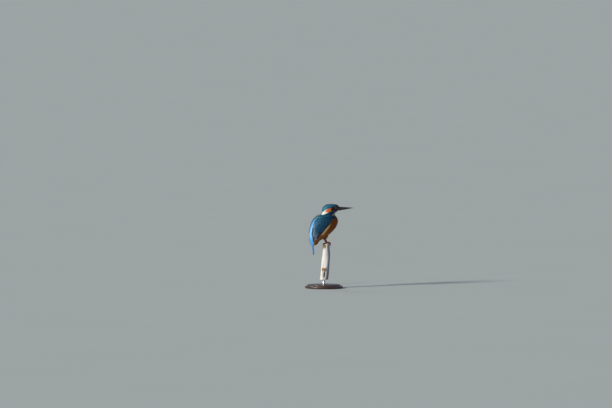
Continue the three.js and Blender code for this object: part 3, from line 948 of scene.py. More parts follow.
@dataclass
class Markings:
    """The colour of the plumage by place, shared by the skin and the coat."""

    form: BodyForm
    palette: Palette = Palette()

    def crown_line(self, x: Array) -> Array:
        """The lower edge of the blue cap, from the nape to the forehead, with the head straight."""
        points = ((-12, 68.0), (-8, 71.8), (0, 77.6), (8, 80.4), (15, 82.2), (22, 82.2), (30, 80.6))
        return self.line(x, *points)

    @staticmethod
    def line(x: Array, *points: Pair) -> Array:
        """A height that runs straight between (x, z) points, given from back to front."""
        xs, zs = zip(*points)
        return np.interp(x, xs, zs)

    @staticmethod
    def patch(x: Array, z: Array, centre: Pair, half: Pair, tilt: float) -> Array:
        """1 inside a tilted ellipse in side view and 0 outside, with a soft rim."""
        c, s = math.cos(tilt), math.sin(tilt)
        u = ((x - centre[0]) * c + (z - centre[1]) * s) / half[0]
        v = ((z - centre[1]) * c - (x - centre[0]) * s) / half[1]
        return fade(u * u + v * v, 1.25, 0.8)

    def at(self, places: Array) -> dict[str, Array]:
        """The markings at places on the body.

        Args:
            places: Places near the form, (n, 3).

        Returns:
            shade (n, 3), gloss (n,) and spot (n,): 1 where feathers are glossy blue or carry a pale spot.
        """
        p = self.palette
        x, y, z = np.moveaxis(self.form.turned(places, -1.0), -1, 0)
        aside = np.abs(y)
        _, angle = self.form.locate(places)
        edge = mix(1.80, 2.10, fade(z, 3.0, 16.0))
        rear = fade(np.abs(angle) - edge, -0.05, 0.25)

        shade = np.broadcast_to(p.orange, places.shape).copy()
        gloss = np.zeros(len(places))
        spot = np.zeros(len(places))

        def paint(colour: Colour, share: Array, shine: float, dots: float = 0.0) -> None:
            """Lays a colour over what is there."""
            shade[:] = mix(shade, colour, share[:, None])
            gloss[:] = mix(gloss, shine, share)
            spot[:] = mix(spot, dots, share)

        # Underparts: deepest on the upper breast and lighter down the belly, with painted sunlight in a pale
        # stripe along the flanks under the wing's edge.
        paint(p.buff_and_painted_sunlight, fade(z, 40, 14) * 0.12, 0.0)
        wing_edge = ((-31, 3.0), (-21, 14.0), (-14, 22.7), (-7.4, 31.4), (-1, 40.2), (8, 54), (30, 86))
        # painted sunlight along the flank, under the wing's lower edge
        stripe = fade(self.line(x, *wing_edge) - z, 8.5, 5.0)
        stripe = stripe * fade(z, 17, 23) * fade(z, 47, 39)
        paint(p.buff_and_painted_sunlight, stripe * fade(aside, 8, 12), 0.0)

        # Side of the neck, and of the breast at the bend of the wing.
        behind = fade(x, 0.0, -5.0)
        bend = np.maximum(fade(aside, 12.2, 13.8), behind)
        bend = bend * fade(z - mix(56.2, 50.0, behind), 0.0, 1.8) * fade(z, 67, 64)
        paint(p.teal, bend, 0.8)

        # Back: one strip from the mantle to the tail, palest over the rump.
        mantle = rear * fade(z, 73, 70)
        paint(p.turquoise, mantle, 0.8)
        paint(p.crown, mantle * fade(z, 61, 69) * 0.6, 0.8)
        paint(p.azure, mantle * fade(z, 60, 50), 0.9)
        paint(p.pale_azure, mantle * hill(z, 26, 19) * 0.75, 0.9)

        # Throat and chin, then the malar stripe beside them.
        chin = fade(z, 63.4, 65.6) * (1 - rear)
        paint(p.cream, chin, 0.0)
        malar_top = self.line(x, (-8, 66.0), (0, 69.2), (5, 71.0), (12, 73.8), (20, 76.2), (28, 76.6))
        malar_low = self.line(x, (-6, 61.0), (4, 62.5), (10, 64.6), (16, 68.2), (22, 72.6), (28, 75.6))
        beside = fade(aside, 4.5, 7.5)
        malar = fade(z - malar_low, -0.4, 0.6) * fade(malar_top - z, -0.5, 0.5)
        paint(p.teal, malar * beside, 0.9, 0.5)
        paint(p.navy, malar * beside * fade(x, -2, 10) * 0.85, 0.8, 0.35)

        # Cheeks: orange ear feathers behind the eye, cream behind and below those, black before and under it.
        side = fade(aside, 5.0, 7.0)
        cheek = side * (1 - malar) * fade(z - malar_top, -0.6, 0.4)
        paint(p.cream, cheek, 0.0)
        paint(p.cream, side * self.patch(x, z, (-6.4, 69.9), (8.2, 2.6), 0.42) * (1 - malar), 0.0)
        paint(p.ear, cheek * fade(x, 2.0, 4.5), 0.0)
        paint(p.ear, side * self.patch(x, z, (4.4, 75.6), (6.6, 2.9), 0.50) * (1 - malar), 0.0)
        paint(p.black, cheek * fade(x, 10.2, 12.0), 0.4)
        paint(p.navy, cheek * fade(x, 3.0, 7.0) * fade(z - malar_top, 1.5, 0.3), 0.5)

        # Crown and nape, over the brow line, and the spot before the eye.
        crown = fade(z - self.crown_line(x), -0.5, 0.6)
        paint(p.crown, crown, 0.8, 1.0)
        paint(p.navy, crown * fade(x, 6, 18) * 0.9, 0.7, 0.55)
        # Near black towards the forehead: partly the forehead's own dark blue, partly painted shade.
        paint(p.black, crown * fade(x, 16, 27) * 0.8, 0.6, 0.25)
        # Black round the eye: partly the dark stripe through it, partly painted shade above it.
        paint(p.black, side * self.patch(x, z, (15.4, 80.1), (4.6, 3.4), 0.0) * 0.9, 0.4)
        paint(p.ear, side * self.patch(x, z, (21.2, 80.7), (3.2, 0.95), 0.10), 0.0)
        return {"shade": shade, "gloss": gloss, "spot": spot}


# Feathers


@dataclass(frozen=True)
class Cut:
    """How one feather's blade is divided: its stations along it, from 0 to 1, and its columns across it."""

    stations: tuple[float, ...]
    columns: int

    @property
    def u(self) -> Array:
        """The stations as an array."""
        return np.array(self.stations)

    @property
    def v(self) -> Array:
        """The columns' places, from -1 to 1."""
        return np.linspace(-1.0, 1.0, self.columns)

    def faces(self, count: int) -> Array:
        """The quads of closed blades: an upper face and a lower one that share their rim.

        Args:
            count: How many blades.

        Returns:
            The quads, (quads, 4), one blade after another.
        """
        a, c = len(self.stations), self.columns
        top = np.arange(a * c).reshape(a, c)
        low = top.copy()
        low[1:-1, 1:-1] = a * c + np.arange((a - 2) * (c - 2)).reshape(a - 2, c - 2)
        one = np.concatenate([cells(top), cells(low)[:, ::-1]])
        size = a * c + (a - 2) * (c - 2)
        return (one[None] + np.arange(count)[:, None, None] * size).reshape(-1, 4)

    def spread(self, values: Array) -> Array:
        """Values for every station and column, (n, stations, columns, k), put in the vertices' order."""
        n, a, c = values.shape[:3]
        upper = values.reshape(n, a * c, -1)
        lower = values[:, 1:-1, 1:-1].reshape(n, (a - 2) * (c - 2), -1)
        return np.concatenate([upper, lower], axis=1).reshape(-1, values.shape[-1])


TUFT = Cut((0.0, 0.3, 0.6, 0.86, 1.0), 5)
COVERT = Cut((0.0, 0.2, 0.42, 0.64, 0.82, 0.93, 1.0), 7)
QUILL = Cut(tuple(np.round(1 - (1 - np.linspace(0, 1, 19)) ** 1.25, 4)), 9)


@dataclass
class Blades:
    """Many feathers of one cut, each along its own line, with all that a shape needs to know of them."""

    cut: Cut
    line: Array  # (n, stations, 3) the shaft's places
    normal: Array  # (n, stations, 3) away from the body
    half: Array  # (n, stations) half widths
    shade: Array  # (n, stations, 3) or (n, stations, columns, 3)
    gloss: Array  # (n,)
    spot: Array  # (n,)
    patch: Array  # (n, 2) the place of each one's patch on the bake map
    patch_size: Pair = (0.003, 0.003)
    thickness: float = 0.09
    camber: float = 0.12  # how far the blade's edges droop, over its half width
    point: float = 0.10  # how far the tip's sides fall short of its middle, over the length
    fray: float = 0.0  # how unevenly the tip's barbs end, over the length, or over 4 mm of a longer one
    soft: float = 0.0  # how far light sees the body's slope and not the blade's own
    under: Colour | None = None  # the lower face's colour, where it isn't the upper one's
    seed: int = 1

    def of(self, chosen: Array) -> "Blades":
        """Only these blades."""
        keys = ("line", "normal", "half", "shade", "gloss", "spot", "patch")
        return replace(self, **{key: getattr(self, key)[chosen] for key in keys})

    def shape(self) -> Shape:
        """The feathers as closed solids.

        A place is the shaft's place, plus v x half width across, less camber x v^2 x half width down, plus or
        minus half the thickness x (1 - v^2) for the two faces. The tip's columns are drawn in by |v|^1.6.

        Returns:
            The joined shape, with the layers and maps that feathers carry.
        """
        cut, n = self.cut, len(self.line)
        u, v = cut.u, cut.v
        ahead = unit(np.gradient(self.line, axis=1))
        side = unit(np.cross(self.normal, ahead))
        up = np.cross(ahead, side)
        random = np.random.default_rng(self.seed)
        half = self.half[..., None, None]
        row = v[None, None, :, None]
        middle = self.line[:, :, None] + side[:, :, None] * (row * half)
        middle -= up[:, :, None] * (self.camber * row**2 * half)
        late = fade(u, 0.45, 1.0)[None, :, None, None]
        length = np.linalg.norm(self.line[:, -1] - self.line[:, 0], axis=1)[:, None, None, None]
        uneven = random.uniform(-1.0, 0.3, (n, 1, len(v), 1)) * self.fray * np.minimum(length, 4.0)
        middle += ahead[:, :, None] * (late * (uneven - length * self.point * np.abs(row) ** 1.6))
        rim = np.sin(np.pi * np.clip(u, 0.05, 0.95))[None, :, None, None]
        lift = up[:, :, None] * (self.thickness / 2 * (1 - row**2) * rim)
        size = len(u) * len(v)
        upper = cut.spread(middle + lift).reshape(n, -1, 3)
        lower = cut.spread(middle - lift).reshape(n, -1, 3)
        places = np.concatenate([upper[:, :size], lower[:, size:]], axis=1).reshape(-1, 3)

        def spread(values: Array) -> Array:
            """Values for every vertex, from those that differ only by blade, station or column."""
            return cut.spread(np.broadcast_to(values, (n, len(u), len(v), values.shape[-1])))

        shade = self.shade if self.shade.ndim == 4 else self.shade[:, :, None]
        shade = spread(shade).reshape(n, -1, 3)
        if self.under is not None:
            shade[:, size:] = self.under
        both = packed(v[None, None, :] / 2, u[None, :, None] - 0.5)
        numbers = packed(self.gloss, self.spot, length.ravel(), self.half.max(axis=1))[:, None, None]
        slope = unit(up[:, :, None] + side[:, :, None] * (2 * self.camber * row))
        normals = unit(mix(slope, self.normal[:, :, None], self.soft))
        faces = cut.faces(n)
        corners = spread(normals)[faces]
        corners.reshape(n, 2, -1)[:, 1] *= -1
        patch = self.patch[:, None, None] + both * np.array(self.patch_size)
        return Shape(
            places,
            [faces],
            {"shade": shade.reshape(-1, 3)} | dict(zip(("gloss", "spot", "long", "wide"), spread(numbers).T)),
            {"OFBake": spread(patch), "Vane": spread(both) + 0.5},
            corners.reshape(-1, 3),
        )


# The coat of small feathers


class Zone(Enum):
    """A part of the coat that is one piece or a few, with the record's slot for it."""

    CROWN = ("crown_feathers", "plumage_blue")
    FACE = ("face_feathers", "plumage_orange")
    THROAT = ("throat_feathers", "plumage_white")
    NAPE = ("nape_feathers", "plumage_blue")
    BREAST = ("breast_feathers", "plumage_orange")
    BELLY = ("belly_feathers", "plumage_orange")
    BACK = ("back_feathers", "plumage_azure")
    UPPER_TAIL = ("upper_tail_coverts", "plumage_azure")
    UNDER_TAIL = ("under_tail_coverts", "plumage_orange")


@dataclass
class Coat:
    """The small feathers of the head and body, laid over the skin from the bill backwards."""

    form: BodyForm
    wings: tuple[WingForm, ...]
    markings: Markings
    eyes: Array  # (2, 3) the eyeballs' middles
    eye_clear: float = 3.42  # no feather grows nearer to an eyeball's middle
    layers: Pair = (9.0, 12.5)  # feathers over each place, on the head and on the body
    most: int = 2900  # feathers in a piece
    bill_wide: float = 4.3
    bill_high: float = 4.1
    last_z: float = -1.0  # no feather grows below this, where the tail leaves the body
    tail_way: Place = (0.09, 0.0, -1.0)
    cells: tuple[int, int] = (700, 420)  # of the grid that roots are counted on
    crown_z: float = 86.0  # above this a feather bends over a circle of crown_round or less
    crown_round: float = 17.0

    def size(self, places: Array) -> tuple[Array, Array]:
        """The feathers' lengths and half widths at places: shortest by the bill, longest under the tail."""
        z = places[..., 2]
        length = np.interp(self.form.from_bill(places), (4, 9, 16, 26, 38), (1.2, 1.6, 2.3, 2.9, 3.6))
        by_height = np.interp(z, (-4, 3, 12, 30, 48, 60, 68), (4.0, 5.2, 6.8, 6.2, 5.4, 4.6, 3.2))
        length = np.maximum(length, by_height)
        return length, length * np.interp(length, (1.5, 4.0, 8.0), (0.20, 0.165, 0.13))

    def bare(self, t: Array, angle: Array, places: Array) -> Array:
        """True where no feather grows: round the eyes, under the bill's root and under the wings."""
        clear = np.min(np.linalg.norm(places[..., None, :] - self.eyes, axis=-1), axis=-1) < self.eye_clear
        x, y, z = np.moveaxis(self.form.turned(places, -1.0), -1, 0)
        bill = (y / self.bill_wide) ** 2 + ((z - self.form.bill_root[2]) / self.bill_high) ** 2 < 1
        hidden = np.max([w.above(t, angle)[0] for w in self.wings], axis=0) > 0.7
        return clear | (bill & (x > 24)) | hidden | (z < self.last_z)

    def roots(self) -> tuple[Array, Array]:
        """Where feathers grow.

        The number wanted on each cell of a grid is layers x area / (2 x length x half width). The cells'
        running sums turn an even spread of points over a square into an even spread over the bird.

        Returns:
            The t and angle of each root.
        """
        rows, columns = self.cells
        t_edges, a_edges = np.linspace(0.0, 1.0, rows + 1), np.linspace(-np.pi, np.pi, columns + 1)
        middles = [(edges[1:] + edges[:-1]) / 2 for edges in (t_edges, a_edges)]
        t, angle = lattice(*middles)
        places = self.form.surface(t, angle)
        down, turn = np.gradient(places, axis=0), np.gradient(places, axis=1)
        area = np.linalg.norm(np.cross(down, turn), axis=-1)
        length, half = self.size(places)
        layers = mix(*self.layers, fade(length, 3.2, 4.6))
        wanted = np.where(self.bare(t, angle, places), 1e-9, layers * area / (2 * length * half))
        by_row = wanted.sum(axis=1)
        count = int(by_row.sum())
        spread = (0.5 + np.arange(count)[:, None] * np.array(GOLDEN)) % 1.0
        down_sums = np.concatenate([[0.0], np.cumsum(by_row) / by_row.sum()])
        root_t = np.interp(spread[:, 0], down_sums, t_edges)
        row = np.clip((root_t * rows).astype(int), 0, rows - 1)
        round_sums = np.cumsum(wanted, axis=1) / by_row[:, None]
        round_sums = np.hstack([np.zeros((rows, 1)), round_sums]) + np.arange(rows)[:, None]
        root_a = np.interp(row + spread[:, 1] * 0.9999, round_sums.ravel(), np.tile(a_edges, rows))
        return root_t, root_a

    def lie(self, places: Array, normals: Array, random: np.random.Generator) -> Array:
        """The way feathers point: away from the bill's root, along the surface, with a little disorder."""
        ahead = across(places - self.form.turned(np.array(self.form.bill_root)), normals)
        ahead = unit(mix(ahead, unit(np.array(self.tail_way)), fade(places[:, 2], 9.0, 1.0)[:, None]))
        x, y, z = np.moveaxis(places, -1, 0)
        waves = np.sin(x * 0.31 + z * 0.23) * np.sin(y * 0.37 - z * 0.19 + 1.3)
        swing = (0.10 * waves + random.normal(0.0, 0.11, len(places)))[:, None]
        return unit(ahead * np.cos(swing) + np.cross(normals, ahead) * np.sin(swing))

    def blades(self) -> tuple[Blades, Array]:
        """Every feather of the coat.

        A shaft leaves its root just inside the skin and follows the circle that fits the body's bend:
        root + ahead x s - normal x bend x s^2 / 2, and rises through the coat to its outside.

        Returns:
            The blades, and the root of each on the form.
        """
        random = np.random.default_rng(11)
        t, angle = self.roots()
        place, normal = self.form.surface(t, angle), self.form.normal(t, angle)
        length, half = self.size(place)
        length = length * random.uniform(0.88, 1.12, len(length))
        ahead = self.lie(place, normal, random)
        for eye in self.eyes:
            to_eye = eye - place
            gap = np.linalg.norm(to_eye, axis=1)
            facing = np.sum(unit(to_eye) * ahead, axis=1) > 0.35
            length = np.where(facing & (gap < 8), np.minimum(length, np.maximum(gap - 2.75, 0.5)), length)

        reach = 0.5 * length[:, None]
        beyond = self.form.normal(*self.form.locate(place + ahead * reach))
        bend = np.sum((beyond - normal) * ahead, axis=1, keepdims=True) / reach
        bend = np.where(place[:, 2:] > self.crown_z, np.maximum(bend, 1 / self.crown_round), bend)
        bend = (bend * fade(place[:, 2:], 3.0, 10.0))[:, None]
        s = length[:, None, None] * TUFT.u[None, :, None]
        line = place[:, None] + ahead[:, None] * s - normal[:, None] * bend * s**2 / 2
        out = unit(normal[:, None] + ahead[:, None] * bend * s)
        depth = self.form.coat(place)[:, None]
        lift = random.normal(0.0, 0.06, (len(t), 1)) * depth
        height = mix(-depth - 0.15, -0.08 * depth + lift, TUFT.u**0.7)
        under = [w.above(*self.form.locate(line)) for w in self.wings]
        height = height + np.max([rise for _, rise in under], axis=0) * np.minimum(1.0, TUFT.u * 3)
        line = line + out * height[..., None]

        marks = self.markings.at(line[:, 2] + random.normal(0.0, 0.12, place.shape))
        dark_root = mix(0.62, 1.0, fade(TUFT.u, 0.05, 0.5))[None, :, None]
        tone = random.normal(1.0, 0.07, (len(t), 1, 1)) * dark_root
        widths = np.array([0.35, 0.85, 1.0, 0.84, 0.30])
        patch = packed(angle / (2 * np.pi) + 0.5, t)
        half = half[:, None] * widths
        shade = np.clip(marks["shade"][:, None] * tone, 0.0, 1.0)
        spot = marks["spot"] * random.uniform(0.6, 1.0, len(t))
        form = {"thickness": 0.05, "point": 0.13, "fray": 0.13, "camber": 0.10, "soft": 0.65}
        return Blades(TUFT, line, out, half, shade, marks["gloss"], spot, patch, **form), place

    def zones(self, places: Array) -> dict[Zone, Array]:
        """Which zone each root is in.

        Args:
            places: The roots, (n, 3).

        Returns:
            A mask for each zone.
        """
        x, _, z = np.moveaxis(self.form.turned(places, -1.0), -1, 0)
        _, angle = self.form.locate(places)
        rear = np.abs(angle) > 2.0
        crown = (z > self.markings.crown_line(x)) & (z > 70)
        return {
            Zone.CROWN: crown,
            Zone.FACE: ~crown & (z >= 71),
            Zone.THROAT: ~crown & (z < 71) & (z >= 60) & ~rear,
            Zone.NAPE: ~crown & (z < 71) & (z >= 60) & rear,
            Zone.BREAST: (z < 60) & (z >= 38) & ~rear,
            Zone.BELLY: (z < 38) & (z >= 10) & ~rear,
            Zone.BACK: (z < 60) & (z >= 10) & rear,
            Zone.UPPER_TAIL: (z < 10) & rear,
            Zone.UNDER_TAIL: (z < 10) & ~rear,
        }

    def build(self, bench: Workbench, finish: Finish) -> None:
        """Makes the coat's pieces, each zone in as many as its number of feathers needs."""
        blades, places = self.blades()
        LOG.info("%d small feathers", len(places))
        for zone, mask in self.zones(places).items():
            chosen = np.flatnonzero(mask)
            pieces = max(1, math.ceil(len(chosen) / self.most))
            chosen = chosen[np.argsort(places[chosen, 1], kind="stable")]
            name, slot = zone.value
            for k, part in enumerate(np.array_split(chosen, pieces)):
                title = name if pieces == 1 else f"{name}_{k + 1}"
                bench.show(title, blades.of(part).shape(), finish, slot)


# Wings and tail


@dataclass
class WingCoat:
    """The feathers of one closed wing, from the small coverts at the shoulder to the longest quill."""

    form: WingForm
    side_name: str
    palette: Palette
    length: float = 78.0  # mm of wing for the whole of s

    def path(self, cut: Cut, starts: Array, ends: Array, shares: tuple[Array, Array]) -> tuple:
        """Shafts laid over the wing.

        Args:
            cut: How the blades are divided.
            starts: (n, 2) the s and t of each root.
            ends: (n, 2) the s and t of each tip.
            shares: How deep the root and the tip lie, as shares of the wing's thickness.

        Returns:
            The shafts' places and the wing's normals there, (n, stations, 3) each.
        """
        u = cut.u[None]
        s = mix(starts[:, :1], ends[:, :1], u)
        t = mix(starts[:, 1:], ends[:, 1:], u)
        root, tip = (np.broadcast_to(np.asarray(v, float), (len(starts),))[:, None] for v in shares)
        depth = self.form.thickness(s, t) * mix(root, tip, u**0.8) + self.form.sink * fade(s, 0.09, 0.0)
        return self.form.surface(s, t, depth), self.form.normal(s, t)

    def group(
        self, cut: Cut, starts: Array, ends: Array, shares: tuple, half: Array,
        widths: Callable[[Array], Array], shade: Array, gloss: float, spot: float, seed: int, **more: object
    ) -> Blades:
        """Blades for one kind of feather.

        Args:
            cut: How the blades are divided.
            starts: (n, 2) the s and t of each root.
            ends: (n, 2) the s and t of each tip.
            shares: The depths of root and tip in the wing's thickness.
            half: The half width at its widest, for all or for each, (n, 1).
            widths: The width along a feather, from u.
            shade: The colour, (3,), (n, 1, 3) or (n, stations, columns, 3).
            gloss: How glossy the blue is.
            spot: How strong the pale spot near the tip is.
            seed: The seed of what varies between them.
            more: Other fields of the blades.

        Returns:
            The blades.
        """
        random = np.random.default_rng(seed)
        n = len(starts)
        line, normal = self.path(cut, starts, ends, shares)
        tone = random.normal(1.0, 0.07, (n, 1, 1))
        shade = np.asarray(shade, float)
        shade = shade * tone[..., None] if shade.ndim == 4 else np.broadcast_to(shade, (n, 1, 3)) * tone
        if shade.ndim == 3:
            base = mix(0.7, 1.0, fade(cut.u, 0.0, 0.4))[None, :, None]
            shade = shade * base
        spots = random.uniform(0.3, 1.0, n) * spot
        half = half * widths(cut.u)[None] * random.uniform(0.93, 1.07, (n, 1))
        shade, gloss = np.clip(shade, 0.0, 1.0), np.full(n, gloss)
        return Blades(cut, line, normal, half, shade, gloss, spots, starts * 0.8 + 0.1, seed=seed, **more)

    def rows(self, s: Array, count: int, t_range: Pair, length: Array, seed: int) -> tuple:
        """Roots and tips of rows of like feathers, each row staggered by half a space against the last.

        Args:
            s: Where the rows are.
            count: Feathers in a row.
            t_range: The first and last t.
            length: The feathers' length in mm, for all rows or for each.
            seed: The seed of their disorder.

        Returns:
            The roots and the tips, (n, 2) each, from the lowest row to the highest.
        """
        random = np.random.default_rng(seed)
        row, place = lattice(np.arange(len(s)), np.arange(count))
        t = mix(*t_range, (place + 0.5 * (row % 2)) / (count - 0.5))
        start = packed(np.asarray(s)[row], t).reshape(-1, 2)
        start = start + random.normal(0.0, 1.0, start.shape) * (0.004, 0.006)
        length = np.broadcast_to(length, len(s))[row.ravel()]
        step = length / self.length * random.uniform(0.9, 1.1, len(start))
        end = start + packed(step, random.normal(0.0, 0.012, len(start)))
        return start, end

    @staticmethod
    def leaf(u: Array) -> Array:
        """A small feather's width along it: quickly full, and round at the tip."""
        full = np.sqrt(np.clip((u + 0.05) * 3.2, 0, 1))
        return full * (1 - 0.55 * fade(u, 0.72, 1.0))

    @staticmethod
    def quill(u: Array) -> Array:
        """A flight feather's width along it: nearly even, and drawn in over the last fifth."""
        return np.minimum(1.0, 0.45 + u * 4.0) * (1 - 0.70 * fade(u, 0.78, 1.03))

    def two_webs(self, outer: Colour, inner: Colour, count: int, tip: Colour) -> Array:
        """Colours over quills.

        Args:
            outer: The web towards the wing's lead edge.
            inner: The other web.
            count: How many quills.
            tip: The tip.

        Returns:
            The colours, (count, stations, columns, 3).
        """
        v = QUILL.v * -self.form.side
        share = fade(v, -0.15, 0.25)[None, :, None]
        web = mix(inner, outer, share)
        # painted sheen along each quill's outer edge, where light catches it
        edge = fade(v, 0.40, 0.80)[None, :, None] * fade(QUILL.u, 0.20, 0.40)[:, None, None]
        web = mix(web, self.palette.painted_sheen, edge * 0.9)
        web = mix(web, tip, fade(QUILL.u, 0.86, 1.0)[:, None, None] * 0.6)
        return np.broadcast_to(web[None], (count, len(QUILL.u), len(v), 3)).copy()

    def coverts(self) -> list[Blades]:
        """The lesser, median and greater coverts, the alula and the primary coverts."""
        p = self.palette
        lesser, wide = mix(p.teal, p.navy, 0.35), (0.02, 0.96)
        thumb, hand = np.linspace(0.02, 0.13, 3), np.linspace(0.03, 0.30, 6)
        alula = packed(0.24, thumb), packed(0.40 + thumb * 0.5, thumb + 0.01)
        primary = packed(0.43, hand), packed(0.60 + hand * 0.12, hand + 0.02)
        small = self.rows(np.linspace(0.0, 0.31, 12), 20, wide, 5.6, 21)
        median = self.rows(np.array([0.325, 0.365]), 17, wide, 8.0, 22)
        greater = self.rows(np.array([0.405]), 15, (0.03, 0.95), 13.0, 23)
        kinds = (
            (small, (0.34, 0.02), 1.15, lesser, 0.85, 0.75),
            (median, (0.34, 0.05), 1.45, lesser, 0.85, 0.60),
            (greater, (0.36, 0.10), 1.85, p.teal, 0.85, 0.25),
            (alula, (0.20, -0.02), 1.5, p.navy, 0.6, 0.0),
            (primary, (0.42, 0.20), 1.7, mix(p.teal, p.navy, 0.6), 0.7, 0.0),
        )
        common = {"fray": 0.06, "camber": 0.12, "soft": 0.4}
        return [
            self.group(COVERT, *ends, shares, half, self.leaf, shade, gloss, spot, 30 + k, **common)
            for k, (ends, shares, half, shade, gloss, spot) in enumerate(kinds)
        ]

    def scapulars(self) -> list[Blades]:
        """The long soft feathers that lie over the wing's inner edge, from the shoulder back."""
        p = self.palette
        rows, count = 11, 9
        lengths = np.linspace(5.0, 11.5, rows)
        start, end = self.rows(np.linspace(0.0, 0.36, rows) ** 1.1, count, (0.70, 0.98), lengths, 24)
        half = mix(1.15, 1.7, np.repeat(np.linspace(0.0, 1.0, rows), count))[:, None]
        # painted sheen: a pale patch of caught light on the rear scapulars
        pale = fade(start[:, 0], 0.18, 0.30) * fade(start[:, 1], 0.74, 0.86) * 0.6
        shade = mix(p.teal, p.painted_sheen, pale[:, None, None])
        sunk = [0.38 * fade(at[:, 1], 0.86, 1.0) for at in (start, end)]
        shares = (0.30 + sunk[0], 0.02 + sunk[1])
        common = {"fray": 0.08, "camber": 0.14, "soft": 0.4}
        return [self.group(COVERT, start, end, shares, half, self.leaf, shade, 0.9, 0.0, 40, **common)]

    def flight(self) -> list[Blades]:
        """Eight primaries, nine secondaries and four tertials, each kind lying over the last."""
        p = self.palette
        common = {"fray": 0.004, "point": 0.03, "camber": 0.12, "thickness": 0.12, "under": p.dusk}
        k = np.arange(8)
        start = packed(0.49 + 0.004 * k, 0.055 + 0.046 * k)
        tip_s = (0.90, 0.95, 0.985, 0.98, 0.955, 0.925, 0.89, 0.86)
        tip_t = (0.16, 0.28, 0.40, 0.48, 0.55, 0.61, 0.67, 0.72)
        end = packed(tip_s, tip_t)
        shade = self.two_webs(mix(p.dusk, p.teal, 0.75), p.dusk, 8, p.dusk)
        shares = (0.66 - 0.035 * k, 0.60 - 0.05 * k)
        primaries = self.group(QUILL, start, end, shares, 2.1, self.quill, shade, 0.45, 0.0, 51, **common)
        k = np.arange(9)
        start = packed(0.46 - 0.007 * k, mix(0.42, 0.86, k / 8))
        end = packed(mix(0.86, 0.76, k / 8), mix(0.60, 0.93, k / 8))
        shade = self.two_webs(mix(p.teal, p.azure, 0.12), p.dusk, 9, p.navy)
        shares = (0.40 - 0.02 * k, 0.30 - 0.022 * k)
        secondaries = self.group(QUILL, start, end, shares, 2.5, self.quill, shade, 0.75, 0.0, 52, **common)
        k = np.arange(4)
        start = packed(0.36 - 0.02 * k, mix(0.78, 0.91, k / 3))
        end = packed(mix(0.76, 0.66, k / 3), mix(0.84, 0.94, k / 3))
        shade = self.two_webs(p.teal, mix(p.teal, p.dusk, 0.5), 4, p.teal)
        shares = (0.14 + 0.03 * k, 0.06 + 0.03 * k)
        tertials = self.group(QUILL, start, end, shares, 2.6, self.quill, shade, 0.85, 0.0, 53, **common)
        return [primaries, secondaries, tertials]

    def build(self, bench: Workbench, finish: Finish) -> None:
        """Makes this wing's pieces; the flight feathers take the place of their plain solid."""
        for title, groups, stands_for in (
            ("wing_small_coverts", self.coverts(), ()),
            ("scapulars", self.scapulars(), ()),
            ("flight_feathers", self.flight(), (f"wing_flight_{self.side_name}",)),
        ):
            shape = Shape.joined([b.shape() for b in groups])
            bench.show(f"{title}_{self.side_name}", shape, finish, "plumage_blue", *stands_for)


@dataclass
class Tail:
    """Twelve tail feathers, closed over each other with the middle pair on top."""

    palette: Palette
    root_x: float = -34.2
    root_z: float = 6.0
    tip_x: float = -31.2
    tip_z: float = -27.6
    root_half: float = 5.4
    half: float = 6.9
    camber: float = 1.1
    roundness: float = 4.2
    feathers: int = 12
    blade_half: float = 2.35
    layer: float = 0.12  # between one feather and the next

    def build(self, bench: Workbench, finish: Finish) -> None:
        """Makes the tail feathers.

        Feather k of a side lies k layers under the middle pair, and its shaft runs from across x root half to
        across x half, where across goes from 0.13 to 0.66 over the six pairs.

        Args:
            bench: The workbench.
            finish: The feathers' finish.
        """
        pair = np.repeat(np.arange(self.feathers // 2), 2)
        side = np.tile([-1.0, 1.0], self.feathers // 2)
        share = mix(0.13, 0.66, pair / pair.max()) * side
        u = QUILL.u[None]
        y = share[:, None] * mix(self.root_half, self.half, fade(u, 0.0, 0.7))
        tip = self.tip_z + self.roundness * (np.abs(share) * 1.15) ** 2
        z = mix(self.root_z, tip[:, None], u)
        middle = mix(self.root_x, self.tip_x, (self.root_z - z) / (self.root_z - self.tip_z))
        down = self.layer * (pair + 0.5 * (side > 0))
        x = middle + self.camber * (y / self.half) ** 2 - 0.55 + down[:, None]
        line = packed(x, y, z)
        normal = np.broadcast_to(np.array([-1.0, 0.0, -0.09]), line.shape)
        normal = unit(normal + packed(0.0, y * 0.06, 0.0))
        p = self.palette
        outside = fade(QUILL.v[None, :] * -side[:, None], -0.3, 0.2)[:, None, :, None]
        dim_azure = np.array(p.azure) * 0.62
        shade = mix(np.array(p.navy) * 1.5, dim_azure, outside)
        shade = np.broadcast_to(shade, (len(pair), len(QUILL.u), len(QUILL.v), 3))
        shade = np.where((pair == 0)[:, None, None, None], dim_azure, shade)
        shade = mix(shade, p.navy, fade(QUILL.u, 0.80, 1.0)[None, :, None, None] * 0.55)
        widths = WingCoat.quill(QUILL.u) * self.blade_half
        patch = packed((pair + 0.5) / 6 * 0.9 + 0.04, 0.25 + 0.5 * (side > 0))
        half = np.broadcast_to(widths, y.shape)
        gloss, spot = np.full(len(pair), 0.7), np.zeros(len(pair))
        more = {"patch_size": (0.12, 0.44), "thickness": 0.14, "camber": 0.05, "point": 0.03, "fray": 0.004}
        blades = Blades(QUILL, line, normal, half, shade, gloss, spot, patch, under=p.slate, seed=61, **more)
        bench.show("tail_feathers", blades.shape(), finish, "plumage_azure", "tail")


# Bill, eyes, legs and skin


